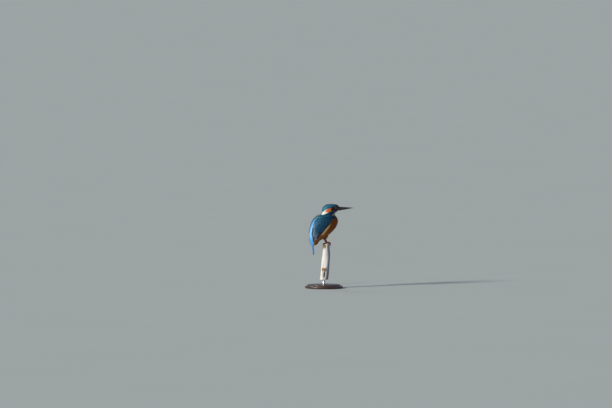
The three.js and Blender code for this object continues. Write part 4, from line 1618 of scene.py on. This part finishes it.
@dataclass
class Bill:
    """The two halves of a long dagger of a bill, with a ridge above, a seam between and narrow nostrils."""

    form: BodyForm
    root_x: float = 24.5
    base_x: float = 29.4
    tip_x: float = 63.2
    base_z: float = 78.7
    tip_z: float = 80.7
    upper_height: float = 4.4
    lower_height: float = 3.9
    half_width: float = 4.7
    seam: float = 0.012  # half the width of the closed seam
    nostril_x: float = 34.6

    def half(self, rise: int) -> Shape:
        """One half of the bill.

        Round a ring, y is the width x signed cos^0.9, and the height over the seam is the depth x sin^0.95 on
        the outer side and 0 on the inner. Width and depth shrink towards the tip by powers of the share left.

        Args:
            rise: 1 for the upper half and -1 for the lower.

        Returns:
            The closed half, in the head's pose.
        """
        rings, sides = 110, 48
        x = mix(self.root_x, self.tip_x, np.linspace(0.0, 1.0, rings) ** 0.9)[:, None]
        angle = turns(sides)[None]
        share = np.clip((self.tip_x - x) / (self.tip_x - self.base_x), 0.012, 1.1)
        seam = mix(self.tip_z, self.base_z, share)
        height, power = (self.upper_height, 0.86) if rise > 0 else (self.lower_height, 0.94)
        deep = height * share**power + 0.14
        wide = self.half_width * share**1.12 + 0.16
        sine = np.maximum(0.0, np.sin(angle))
        ridge = 0.05 * hill(angle, np.pi / 2, 0.22) * fade(share, 0.1, 0.5)
        nostril = hill(x, self.nostril_x, 1.5) * hill(sine, 0.42, 0.10) * 0.42 if rise > 0 else 0.0
        lip = 0.16 * hill(sine, 0.0, 0.16) * fade(share, 0.03, 0.2)
        y = signed_power(np.cos(angle), 0.9) * (wide - nostril - lip)
        out = deep * sine**0.95 * (1 + ridge)
        z = seam + rise * (self.seam + out)
        return tube(self.form.turned(packed(x, y, z)), 0.05)

    def build(self, bench: Workbench, finish: Finish) -> None:
        """Makes both halves."""
        for name, rise in (("upper", 1), ("lower", -1)):
            bench.show(f"bill_{name}_half", self.half(rise), finish, "bill_horn", f"bill_{name}")


@dataclass
class Eye:
    """An eyeball set into the head, with its lids."""

    form: BodyForm
    side: int
    side_name: str
    radius: float = 3.55
    x: float = 15.6
    y: float = 10.2
    z: float = 79.9
    pupil_cosine: float = 0.86
    lid_out: tuple[float, ...] = (2.66, 2.70, 2.84, 3.04, 3.4, 4.0, 2.9)  # from the eye's axis
    lid_up: tuple[float, ...] = (2.20, 2.36, 2.36, 2.14, 1.6, 0.8, 0.5)  # out of the head
    lid_sides: int = 96
    wrinkles: int = 26

    @property
    def middle(self) -> Array:
        """The eyeball's middle."""
        return self.form.turned(np.array([self.x, self.side * self.y, self.z]))

    @property
    def axes(self) -> tuple[Array, Array, Array]:
        """Unit vectors out of the head, forward along it and up, at the eye."""
        beyond = np.array([self.x + 0.30, self.side * (self.y + 1), self.z + 0.10])
        before = np.array([self.x + 1.0, self.side * self.y, self.z])
        out = unit(self.form.turned(beyond) - self.middle)
        ahead = across(self.form.turned(before) - self.middle, out)
        return out, ahead, np.cross(out, ahead) * self.side

    def ball(self, grow: float = 0.0) -> Shape:
        """The eyeball as rings from its back to its front, on the axis that points out of the head.

        Args:
            grow: How much larger than the eyeball it is.

        Returns:
            The ball, with the pupil's number.
        """
        out, ahead, up = self.axes
        polar = np.linspace(np.pi, 0.0, 42)[1:-1, None, None]
        angle = turns(56)[None, :, None]
        ring = (ahead * np.cos(angle) + up * np.sin(angle)) * np.sin(polar) + out * np.cos(polar)
        radius = self.radius + grow
        shape = tube(self.middle + ring * radius, radius * (1 - math.cos(np.pi / 41)))
        facing = unit(shape.places - self.middle) @ out
        shape.layers["pupil"] = fade(facing, self.pupil_cosine, self.pupil_cosine + 0.02)
        return shape

    def lids(self) -> Shape:
        """The lids: a closed profile carried round the eyeball, from a thin lip out and down to the face.

        The ring is a little longer towards the bill and the back of the head than it is high, and finely
        wrinkled.
        """
        out, ahead, up = self.axes
        turn = turns(self.lid_sides)[:, None, None]
        profile = packed(self.lid_out, self.lid_up)
        away = ahead * np.cos(turn) * 1.05 + up * np.sin(turn) * 0.95
        wrinkle = 1 + 0.012 * np.cos(self.wrinkles * turn)
        places = self.middle + away * profile[:, :1] * wrinkle + out * profile[:, 1:]
        grid = np.arange(self.lid_sides * len(profile)).reshape(self.lid_sides, -1)
        return outward(places.reshape(-1, 3), [cells(np.pad(grid, ((0, 1), (0, 1)), mode="wrap"))])

    def build(self, bench: Workbench, finish: Finish) -> None:
        """Makes the eyeball."""
        bench.show(f"eyeball_{self.side_name}", self.ball(), finish, "eye", f"eye_{self.side_name}")


@dataclass(frozen=True)
class Toe:
    """One toe: its name, its heading from straight ahead towards the bird's own side, and its size."""

    name: str
    heading: float
    length: float
    radius: float


@dataclass
class Leg:
    """One short leg, from inside the belly to the claws, on the slanted top of the stick."""

    side: int
    side_name: str
    stick: "Stick"
    toes: tuple[Toe, ...] = (
        Toe("hind", 187.0, 7.2, 1.25),
        Toe("inner", -13.0, 9.0, 1.15),
        Toe("middle", 6.0, 11.6, 1.3),
        Toe("outer", 24.0, 10.4, 1.2),
    )
    hip: Place = (-4.2, 6.6, 24.0)
    ankle: Place = (-4.2, 5.2, 9.4)
    foot: Pair = (1.4, 4.3)
    foot_rise: float = 2.1
    thigh_radius: float = 5.8
    thigh_coat: float = 0.7
    tuft_rows: int = 13
    tuft_columns: int = 15
    ankle_radius: float = 2.2
    tarsus_radius: float = 1.35
    claw_length: float = 4.0
    claw_radius: float = 0.78
    claw_tip: float = 0.10
    claw_hook: float = 1.5

    def sided(self, place: Place) -> Array:
        """A place of the left side, for this side."""
        return np.array([place[0], self.side * place[1], place[2]])

    @property
    def foot_middle(self) -> Array:
        """Where the toes meet, over the slanted top."""
        x, y = self.foot
        return self.sided((x, y, self.stick.top(x) + self.foot_rise))

    def thigh_line(self, count: int) -> Array:
        """The middle of the thigh, from the hip by the knee to the ankle."""
        hip, ankle = self.sided(self.hip), self.sided(self.ankle)
        knee = mix(hip, ankle, 0.45) + np.array([2.8, self.side * 0.4, 0.0])
        return spline([hip, knee, ankle], count)

    def thigh_girth(self, share: Array) -> Array:
        """The feathered thigh's radius along it."""
        return mix(self.thigh_radius, self.ankle_radius, share**1.2)

    def thigh(self) -> Shape:
        """The thigh's skin, a coat's depth inside its feathers."""
        share = np.linspace(0.0, 1.0, 26)
        girth = np.maximum(self.thigh_girth(share) - self.thigh_coat, self.tarsus_radius + 0.15)
        return sweep(self.thigh_line(26), np.array([0.0, 1.0, 0.0]), girth, girth, 28, 0.2)

    def tarsus(self) -> Shape:
        """The bare shank, thicker at both ends, with broad scales across its front."""
        share = np.linspace(-0.08, 1.0, 60)[:, None]
        line = mix(self.sided(self.ankle), self.foot_middle, share)
        angle = turns(24)[None]
        scales = 0.035 * np.abs(np.sin(share * np.pi * 7)) * fade(np.sin(angle), -0.2, 0.5)
        girth = self.tarsus_radius * (1 + 0.25 * (2 * share - 1) ** 4 + scales)
        return sweep(line, np.array([0.0, 1.0, 0.0]), girth, girth, 24, 0.2)

    def toe_line(self, toe: Toe) -> tuple[Array, Array]:
        """A toe's middle line, over the slanted top and down over the rim.

        Args:
            toe: The toe.

        Returns:
            The line's places, and the unit vector to its left.
        """
        heading = math.radians(toe.heading) * self.side
        start = self.foot_middle
        ahead = np.array([math.cos(heading), math.sin(heading), 0.0])
        out = float(start[:2] @ ahead[:2])
        rim = -out + math.sqrt(out**2 + self.stick.top_radius**2 - float(start[:2] @ start[:2]))

        def on_top(distance: float, fall: float = 0.0) -> Array:
            """The place that far along the toe, lying on the top, less a fall."""
            place = start + ahead * distance
            place[2] = self.stick.top(place[0]) + toe.radius - fall
            return place

        flat = min(toe.length, rim - 0.3)
        points = [start, on_top(flat * 0.45), on_top(flat)]
        left = toe.length - flat
        if left > 0.5:
            points.append(on_top(rim + toe.radius * 1.1, left * 0.35))
            points.append(on_top(rim + toe.radius * 1.6, left * 0.85))
        return spline(points, 44), np.array([-math.sin(heading), math.cos(heading), 0.0])

    def toe(self, toe: Toe) -> Shape:
        """One toe, whose girth tapers and swells in three pads below and a row of scales above.

        Args:
            toe: The toe.

        Returns:
            The closed toe.
        """
        line, left = self.toe_line(toe)
        share = np.linspace(0.0, 1.0, len(line))[:, None]
        angle = turns(20)[None]
        upper = fade(np.sin(angle), 0.0, 0.6)
        pads = 0.10 * np.sin(share * 3 * np.pi) ** 2 * fade(-np.sin(angle), 0.0, 0.7)
        scales = 0.05 * np.abs(np.sin(share * np.pi * toe.length * 0.8)) * upper
        girth = toe.radius * (1.06 - 0.32 * share + pads + scales)
        return sweep(line, left, girth, girth, 20, 0.35)

    def claw(self, toe: Toe) -> Shape:
        """A hooked cone that goes on from the toe and bends in towards the stick.

        Args:
            toe: The toe that it ends.

        Returns:
            The closed claw.
        """
        line, _ = self.toe_line(toe)
        tip, ahead = line[-1], unit(line[-1] - line[-2])
        inward = np.array([0.0, 0.0, -1.0]) if toe.name == "hind" else unit(-tip * np.array([1.0, 1.0, 0.0]))
        bent = [
            tip + ahead * distance + inward * hook
            for distance, hook in (
                (-0.9, -0.1),
                (self.claw_length * 0.45, -0.35),
                (self.claw_length * 0.9, self.claw_hook * 0.55),
            )
        ]
        share = np.linspace(0.0, 1.0, 24)
        girth = mix(self.claw_radius, self.claw_tip, share**0.9)
        side = unit(np.cross(ahead, inward + ahead * 1e-3))
        return sweep(spline(bent, 24), side, girth * 0.85, girth, 16, 0.1)

    def tufts(self, markings: Markings) -> Blades:
        """The thigh's short feathers, in staggered rings that point down to the ankle.

        Args:
            markings: The plumage's colours.

        Returns:
            The blades.
        """
        random = np.random.default_rng(71 + self.side)
        rows, around = self.tuft_rows, self.tuft_columns
        k, j = (g.ravel() for g in lattice(np.arange(rows), np.arange(around)))
        share = mix(0.10, 0.93, k / (rows - 1))
        angle = (j + 0.5 * (k % 2)) / around * 2 * np.pi + random.normal(0, 0.05, len(j))
        fine = self.thigh_line(200)
        u = TUFT.u[None]
        reach = mix(0.34, 0.17, share)[:, None] * u
        at = np.clip(share[:, None] + reach, 0.0, 1.06)
        index = np.clip(at, 0.0, 1.0) * 199
        centre = np.stack([np.interp(index, np.arange(200), fine[:, i]) for i in range(3)], -1)
        centre = centre + unit(fine[-1] - fine[-2]) * (np.maximum(at - 1.0, 0.0) * 16.5)[..., None]
        ahead = unit(np.gradient(fine, axis=0))[np.clip(index.astype(int), 0, 199)]
        left = unit(np.cross(ahead, np.array([1.0, 0.0, 0.0])))
        front = np.cross(left, ahead)
        out = left * np.sin(angle)[:, None, None] + front * np.cos(angle)[:, None, None]
        girth = self.thigh_girth(np.clip(at, 0, 1)) + mix(-0.95, -0.05, u**0.7)
        line = centre + out * girth[..., None]
        marks = markings.at(self.sided((2.0, 6.0, 26.0)) + 0 * line[:, 0])
        tone = random.normal(1.0, 0.08, (len(k), 1, 1))
        patch = packed(angle / (2 * np.pi) * 0.9 + 0.03, share)
        half = np.full((len(k), 1), 0.75) * np.array([0.35, 0.85, 1.0, 0.8, 0.34])
        shade = np.clip(marks["shade"][:, None] * tone, 0, 1)
        zero = np.zeros(len(k))
        ends = {"fray": 0.16, "point": 0.16}
        return Blades(TUFT, line, out, half, shade, zero, zero, patch, soft=0.5, seed=72, **ends)

    def build(self, bench: Workbench, claws: Finish, feathers: Finish, markings: Markings) -> None:
        """Makes the claws and the thigh's feathers; the rest of the leg is skin."""
        for toe in self.toes:
            node = f"claw_{toe.name}_{self.side_name}"
            bench.show(f"hooked_{node}", self.claw(toe), claws, "claw_horn", node)
        tufts = self.tufts(markings).shape()
        bench.show(f"thigh_feathers_{self.side_name}", tufts, feathers, "plumage_orange")


@dataclass
class Skin:
    """The bird's whole skin, as one closed surface inside the coat."""

    form: BodyForm
    wings: tuple[WingForm, ...]
    eyes: tuple[Eye, ...]
    legs: tuple[Leg, ...]
    markings: Markings
    nodes: tuple[str, ...] = ("head", "neck", "trunk")
    paired_nodes: tuple[str, ...] = ("thigh", "tarsus", "foot", "wing_coverts")

    def body(self) -> Shape:
        """The form, set in by the coat's depth."""
        t = np.linspace(0.006, 0.994, 150)[:, None]
        angle = np.linspace(-np.pi, np.pi, 120, endpoint=False)[None]
        t, angle = np.broadcast_arrays(t, angle)
        depth = self.form.coat(self.form.surface(t, angle))
        return tube(self.form.offset(t, angle, -depth))

    def wing(self, wing: WingForm) -> Shape:
        """The wing's own flesh and down, from inside the body to a share of the wing's thickness.

        Args:
            wing: The wing.

        Returns:
            The closed shape: two grids of s and t, and a wall round their rims.
        """
        s, t = lattice(np.linspace(0.03, 0.90, 60), np.linspace(0.04, 0.96, 34))
        share = mix(0.42, 0.86, fade(s, 0.34, 0.56)) + 0.3 * fade(s, 0.70, 0.90)
        upper = wing.surface(s, t, wing.thickness(s, t) * share)
        lower = wing.surface(s, t, wing.thickness(s, t) + 2.2)
        count = s.size
        top = np.arange(count).reshape(s.shape)
        low = top + count
        rim = np.concatenate([top[0, :-1], top[:-1, -1], top[-1, :0:-1], top[:0:-1, 0]])
        after = np.roll(rim, -1)
        walls = packed(rim, after, after + count, rim + count)
        faces = np.concatenate([cells(top), cells(low)[:, ::-1], walls])
        return outward(np.concatenate([upper.reshape(-1, 3), lower.reshape(-1, 3)]), [faces])

    def build(self, bench: Workbench, finish: Finish) -> None:
        """Joins body, wings, legs and lids, and hollows out the eyes.

        Args:
            bench: The workbench.
            finish: The skin's finish.
        """
        joined = [self.wing(w) for w in self.wings] + [e.lids() for e in self.eyes]
        for leg in self.legs:
            joined += [leg.thigh(), leg.tarsus(), *(leg.toe(toe) for toe in leg.toes)]
        hollows = [e.ball(0.12) for e in self.eyes]
        mesh = bench.combined("skin", self.body(), joined, hollows)
        places = bench.places(mesh)
        marks = self.markings.at(places)
        t, _ = self.form.locate(places)
        front = self.form.measures(t)[2]
        low = fade(places[:, 2], 10.4, 9.6)
        bare = low * fade(places[:, 0] - np.where(places[:, 2] < 3.0, -16.0, front), -0.6, 0.6)
        lid = np.zeros(len(places))
        for eye in self.eyes:
            out, _, _ = eye.axes
            away = places - eye.middle
            flat = np.linalg.norm(away - (away @ out)[:, None] * out, axis=1)
            lid = np.maximum(lid, fade(flat, 4.6, 4.1) * (away @ out > 0))
        palette = self.markings.palette
        under_wing = np.max([w.above(*self.form.locate(places))[0] for w in self.wings], axis=0)
        shade = mix(marks["shade"] * 0.7, palette.navy, fade(under_wing, 1.0, 2.5)[:, None])
        shade = mix(shade, palette.coral, bare[:, None])
        shade = mix(shade, palette.black, lid[:, None])
        bench.dress(mesh, {"shade": shade, "bare": bare})
        sides = [f"{node}_{name}" for node in self.paired_nodes for name in ("right", "left")]
        bench.show("skin", mesh, finish, "foot_skin", *self.nodes, *sides)


# Perch and stand


@dataclass
class Stick:
    """A short length of weathered stick, cut on a slant, with a broken stub and a hollow low on one side."""

    length: float = 84.0
    lean: float = 5.6
    bend: float = 2.2
    top_radius: float = 7.8
    radius: float = 9.2
    top_slope: float = 0.26
    top_drop: float = 1.3
    stub_depth: float = 60.0
    stub_heading: float = math.radians(-126.0)
    stub_rise: float = 2.2
    stub_high: float = 4.6
    stub_wide: float = 5.2
    hollow_depth: float = 72.0
    hollow_aside: float = 2.6
    hollow_high: float = 9.0
    hollow_wide: float = 2.8
    hollow_deep: float = 1.5
    stain_depth: float = 5.2
    stain_high: float = 6.4
    stain_wide: float = 3.6
    stain_slant: float = 0.12
    crack_count: int = 16
    crack_deep: float = 0.45
    # the side that is turned from the key light and gets painted shade
    painted_shade_heading: float = math.radians(-35.0)

    def top(self, x: float) -> float:
        """The slanted top's height at x."""
        return self.top_slope * x - self.top_drop

    @staticmethod
    def wrapped(angle: Array) -> Array:
        """The angle between minus and plus half a turn."""
        return np.arctan2(np.sin(angle), np.cos(angle))

    def cracks(self, depth: Array, angle: Array) -> Array:
        """Fine cracks along the grain, each of its own heading, depth, length and width.

        Args:
            depth: How far down the stick.
            angle: Where round it.

        Returns:
            1 along a crack's bottom and 0 away from all of them.
        """
        random = np.random.default_rng(81)
        total = np.zeros(np.broadcast(depth, angle).shape)
        least, most = (-np.pi, 4.0, 7.0, 0.020), (np.pi, 80.0, 26.0, 0.045)
        for heading, middle, long, wide in random.uniform(least, most, (self.crack_count, 4)):
            wander = 0.05 * np.sin(depth / 5.0 + heading * 7)
            window = fade(np.abs(depth - middle), long, long * 0.4)
            total = np.maximum(total, hill(self.wrapped(angle - heading - wander), 0.0, wide) * window)
        return total

    def shape(self) -> Shape:
        """The stick: the cut top from its middle to the rim, then the side down to the bottom.

        The side's radius is the swell from top radius to radius, plus long lumps, the stub's rise
        exp(-away^1.5), fine ridges along the grain and the cracks' and the hollow's dips.
        """
        angle = turns(176)[None]
        down_side = np.concatenate([0.25 * np.arange(1, 5), np.linspace(1.6, self.length, 190)])
        out_to_rim = np.linspace(0.03, 0.975, 22)
        depth = np.concatenate([0 * out_to_rim, down_side])[:, None]
        share = np.concatenate([out_to_rim, np.ones(len(down_side))])[:, None]
        t = depth / self.length
        swell = mix(self.top_radius, self.radius, fade(depth, 6.0, 28.0))
        lumps = 0.25 * np.sin(3 * angle + depth / 9) + 0.2 * np.sin(2 * angle - depth / 15)
        round_mm = self.wrapped(angle - self.stub_heading) * self.radius
        away = ((depth - self.stub_depth) / self.stub_high) ** 2 + (round_mm / self.stub_wide) ** 2
        stub = np.exp(-(away**1.5))
        hollow = ((depth - self.hollow_depth) / self.hollow_high) ** 2
        hollow = hollow + ((round_mm - self.hollow_aside) / self.hollow_wide) ** 2
        hollow = np.exp(-(hollow**2))
        fibres = 0.045 * np.sin(43 * angle + 1.6 * np.sin(depth / 13) + depth / 21)
        fibres = fibres + 0.035 * np.sin(71 * angle - depth / 17 + 2.0 * np.sin(depth / 9 + 3 * angle))
        crack = self.cracks(depth, angle)
        rough = 0.10 * np.sin(depth * 0.9 + 5 * np.sin(2 * angle)) * np.sin(6 * angle + depth / 7)
        side = np.minimum(1.0, depth / 3.0)
        dips = self.hollow_deep * hollow * (1 - stub) + self.crack_deep * crack
        radius = swell + lumps + self.stub_rise * stub - side * dips
        radius = radius + side * (fibres + rough * 0.5)
        rim = np.sqrt(np.clip(1 - (1 - np.clip(depth, 0, 1)) ** 2, 0, 1))
        radius = (radius - 0.35 * (1 - rim)) * share
        x = radius * np.cos(angle)
        slant = self.top(x) * np.maximum(0.0, 1 - depth / 14)
        rings = 0.07 * np.sin(radius * 5.2 + 0.6 * np.sin(3 * angle)) * fade(share, 0.999, 0.9)
        splits = 0.25 * hill(self.wrapped(angle - 2.1), 0.0, 0.05)
        splits = splits * fade(share, 0.1, 0.5) * (share < 1)
        z = slant - depth + rings - splits
        places = packed(x - self.lean * t**self.bend, radius * np.sin(angle), z)
        shape = tube(places)

        stain = ((depth - self.stain_depth) / self.stain_high) ** 2
        stain = stain + ((round_mm + self.stain_slant * depth) / self.stain_wide) ** 2
        broken = np.exp(-(away**2))
        layers = {
            "crack": np.maximum(crack * side, splits * 3),
            "tan": np.maximum(broken, np.exp(-stain) * 1.3) * side,
            # the darkest brown, painted in the hollow under the stub
            "rot": hollow * (1 - broken) * side,
            # painted shade, strongest on the side turned from the key light
            "shaded": fade(np.cos(angle - self.painted_shade_heading), 0.60, 0.95) + 0 * depth,
        }
        for key, values in layers.items():
            values = np.broadcast_to(values, places.shape[:2])
            shape.layers[key] = np.concatenate([values.ravel(), [values[0].mean(), values[-1].mean()]])
        return shape

    def build(self, bench: Workbench, finish: Finish) -> None:
        """Makes the stick."""
        bench.show("cut_stick", self.shape(), finish, "stick", "perch")


@dataclass
class Stand:
    """A turned round base with a steel pin that carries the stick."""

    depth: float  # of the stand's underside below the stick's top
    radius: float = 44.0
    thickness: float = 9.0
    rod_radius: float = 2.6
    rod_length: float = 11.0
    collar_radius: float = 4.4
    collar_height: float = 1.3
    bead: float = 2.2

    def turned(self, profile: Sequence[Pair], sides: int, middle: float = 0.0) -> Shape:
        """A profile of (radius, height above the floor) turned about the upright line through the base."""
        points = np.array(profile)
        angle = turns(sides)[None]
        r, z = points[:, :1], points[:, 1:] - self.depth
        rings = packed(r * np.cos(angle) + middle, r * np.sin(angle), z)
        return tube(rings)

    def base_profile(self) -> list[Pair]:
        """The base's profile from the middle below to the middle above: a bead, a cove and a low dome."""
        a, rim = np.linspace(-1.15, 1.45, 16), self.radius - self.bead
        bead = zip(rim + self.bead * np.cos(a), 2.8 + self.bead * np.sin(a))
        a = np.linspace(0.05, 1.45, 12)
        cove = zip(self.radius - 2.6 - 3.4 * np.sin(a), 8.2 - 3.0 * np.cos(a))
        r = np.linspace(37.0, 3.0, 14)
        dome = zip(r, self.thickness - 0.55 * (r / r[0]) ** 6)
        return [(1.0, 0.0), (20.0, 0.0), (rim, 0.0), *bead, *cove, *dome]

    def build(self, bench: Workbench, wood: Finish, steel: Finish, lean: float) -> None:
        """Makes the base and the pin.

        Args:
            bench: The workbench.
            wood: The base's finish.
            steel: The pin's finish.
            lean: How far the stick's top stands ahead of its foot.
        """
        base = self.turned(self.base_profile(), 160, -lean)
        bench.show("turned_base", base, wood, "stand_wood", "stand_base")
        floor, r, c = self.thickness, self.rod_radius, self.collar_radius
        top = floor + self.rod_length + 0.1
        profile = [(0.5, floor - 0.2), (c, floor - 0.2), (c, floor + self.collar_height - 0.3)]
        profile += [(c - 0.3, floor + self.collar_height), (r + 0.5, floor + self.collar_height)]
        profile += [(r, floor + self.collar_height + 0.5), (r, top - 0.1), (r, top), (0.5, top)]
        bench.show("steel_pin", self.turned(profile, 72, -lean), steel, "stand_steel", "stand_rod")


# Studio


@dataclass
class Studio:
    """A plain pale floor, soft light from the camera's left, and the camera."""

    origin: Vector  # the middle of the stick's top
    floor_z: float
    azimuth: float = math.radians(-18.0)
    elevation: float = math.radians(3.0)
    lens: float = 400.0
    sensor: float = 36.0
    distance: float = 15.64
    aside: float = -46.5 * MM  # from the stick's top to the middle of the view, to the camera's right
    above: float = 89.7 * MM
    pale: Colour = (0.42, 0.45, 0.44)  # the floor
    floor_half: float = 60.0
    fill: Colour = (0.19, 0.235, 0.30)
    backdrop: Colour = (0.30, 0.33, 0.33)
    key_strength: float = 4.1
    key_spread: float = math.radians(10.0)
    key_from: Place = (-0.96, -0.28, 0.44)
    key_colour: Colour = (1.0, 0.95, 0.86)
    glint_strength: float = 0.22
    glint_spread: float = math.radians(5.0)
    glint_from: Place = (-0.52, -0.70, 0.72)
    far_glint_from: Place = (-0.10, 0.75, 0.75)

    def camera(self) -> None:
        """Places the camera so that the stick's top is aside and below the middle of its view."""
        a, e = self.azimuth, self.elevation
        back = Vector((math.sin(a) * math.cos(e), -math.cos(a) * math.cos(e), math.sin(e)))
        right = Vector((math.cos(a), math.sin(a), 0.0))
        up = back.cross(right)
        aim = self.origin + right * self.aside + up * self.above
        data = bpy.data.cameras.new("camera")
        data.lens, data.sensor_width, data.clip_end = self.lens, self.sensor, 500.0
        camera = bpy.data.objects.new("camera", data)
        camera.location = aim + back * self.distance
        camera.rotation_euler = Matrix((right, up, back)).transposed().to_euler()
        bpy.context.scene.collection.objects.link(camera)
        bpy.context.scene.camera = camera

    def floor(self) -> None:
        """Lays the floor under the stand."""
        corners = np.array([(-1, -1), (1, -1), (1, 1), (-1, 1)], float) * self.floor_half
        places = np.column_stack([corners, np.full(4, self.floor_z)])
        mesh = bpy.data.meshes.new("floor")
        mesh.from_pydata(places.tolist(), [], [(0, 1, 2, 3)])
        floor = bpy.data.objects.new("floor", mesh)
        graph = Graph("floor")
        mottle = graph.noise(3.0, detail=1.0)
        darker = tuple(c * 0.97 for c in self.pale)
        graph.set(Base_Color=graph.blend(mottle, self.pale, darker), Roughness=0.95, Specular_IOR_Level=0.1)
        mesh.materials.append(graph.material)
        bpy.context.scene.collection.objects.link(floor)
        floor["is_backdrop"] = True

    def light(self) -> None:
        """A warm key from the camera's left, a weak glint for each eye, cool fill and a pale backdrop."""
        world = bpy.data.worlds.new("surround")
        world.use_nodes = True
        tree = world.node_tree
        fill = tree.nodes["Background"]
        fill.inputs["Color"].default_value = (*self.fill, 1.0)
        backdrop = tree.nodes.new("ShaderNodeBackground")
        backdrop.inputs["Color"].default_value = (*self.backdrop, 1.0)
        choice, path = tree.nodes.new("ShaderNodeMixShader"), tree.nodes.new("ShaderNodeLightPath")
        for k, source in enumerate((path.outputs["Is Camera Ray"], fill.outputs[0], backdrop.outputs[0])):
            tree.links.new(source, choice.inputs[k])
        tree.links.new(choice.outputs[0], tree.nodes["World Output"].inputs["Surface"])
        bpy.context.scene.world = world
        self.lamp("key", self.key_strength, self.key_spread, self.key_from, self.key_colour)
        for name, way in (("glint", self.glint_from), ("far glint", self.far_glint_from)):
            self.lamp(name, self.glint_strength, self.glint_spread, way, (1.0, 1.0, 1.0))
        view = bpy.context.scene.view_settings
        view.view_transform, view.look = "Standard", "None"

    def lamp(self, name: str, strength: float, spread: float, way: Place, colour: Colour) -> None:
        """Adds a lamp so far off that its light comes from one way, spread over an angle."""
        data = bpy.data.lights.new(name, "SUN")
        data.energy, data.angle, data.color = strength, spread, colour
        lamp = bpy.data.objects.new(name, data)
        lamp.rotation_euler = Vector(way).to_track_quat("Z", "Y").to_euler()
        bpy.context.scene.collection.objects.link(lamp)

    def build(self) -> None:
        """Sets the whole studio up."""
        self.camera()
        self.floor()
        self.light()


def corners(box: tuple) -> list[list[float]]:
    """A box's lowest and highest corners as plain lists of numbers."""
    return [[float(v) for v in corner] for corner in box]


def main() -> None:
    """Builds the bird, its perch and its stand, and reports each piece."""
    logging.basicConfig(level=logging.INFO, format="%(name)s: %(message)s")
    cad_box = corners(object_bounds())
    stick = Stick()
    stand_height = Stand.thickness + Stand.rod_length
    origin = Vector((stick.lean, 0.0, stand_height + stick.length)) * MM
    floor_z = float(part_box("stand_base")[0][2])
    bench = Workbench(origin)
    Studio(origin, floor_z).build()

    palette = Palette()
    form = BodyForm()
    sides = {"right": -1, "left": 1}
    wings = tuple(WingForm(form, side) for side in sides.values())
    markings = Markings(form, palette)
    eyes = tuple(Eye(form, side, name) for name, side in sides.items())
    legs = tuple(Leg(side, name, stick) for name, side in sides.items())
    feathers = FeatherFinish()

    Skin(form, wings, eyes, legs, markings).build(bench, SkinFinish())
    Coat(form, wings, markings, np.array([e.middle for e in eyes])).build(bench, feathers)
    for name, wing in zip(sides, wings):
        WingCoat(wing, name, palette).build(bench, feathers)
    Tail(palette).build(bench, feathers)
    Bill(form).build(bench, HornFinish())
    for eye in eyes:
        eye.build(bench, EyeFinish())
    for leg in legs:
        leg.build(bench, HornFinish("claw horn"), feathers, markings)
    stick.build(bench, BleachedWoodFinish())
    Stand(stand_height + stick.length).build(bench, TurnedWoodFinish(), SteelFinish(), stick.lean)

    {"cad": cad_box, "visual": corners(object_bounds())}


if __name__ == "__main__":
    main()
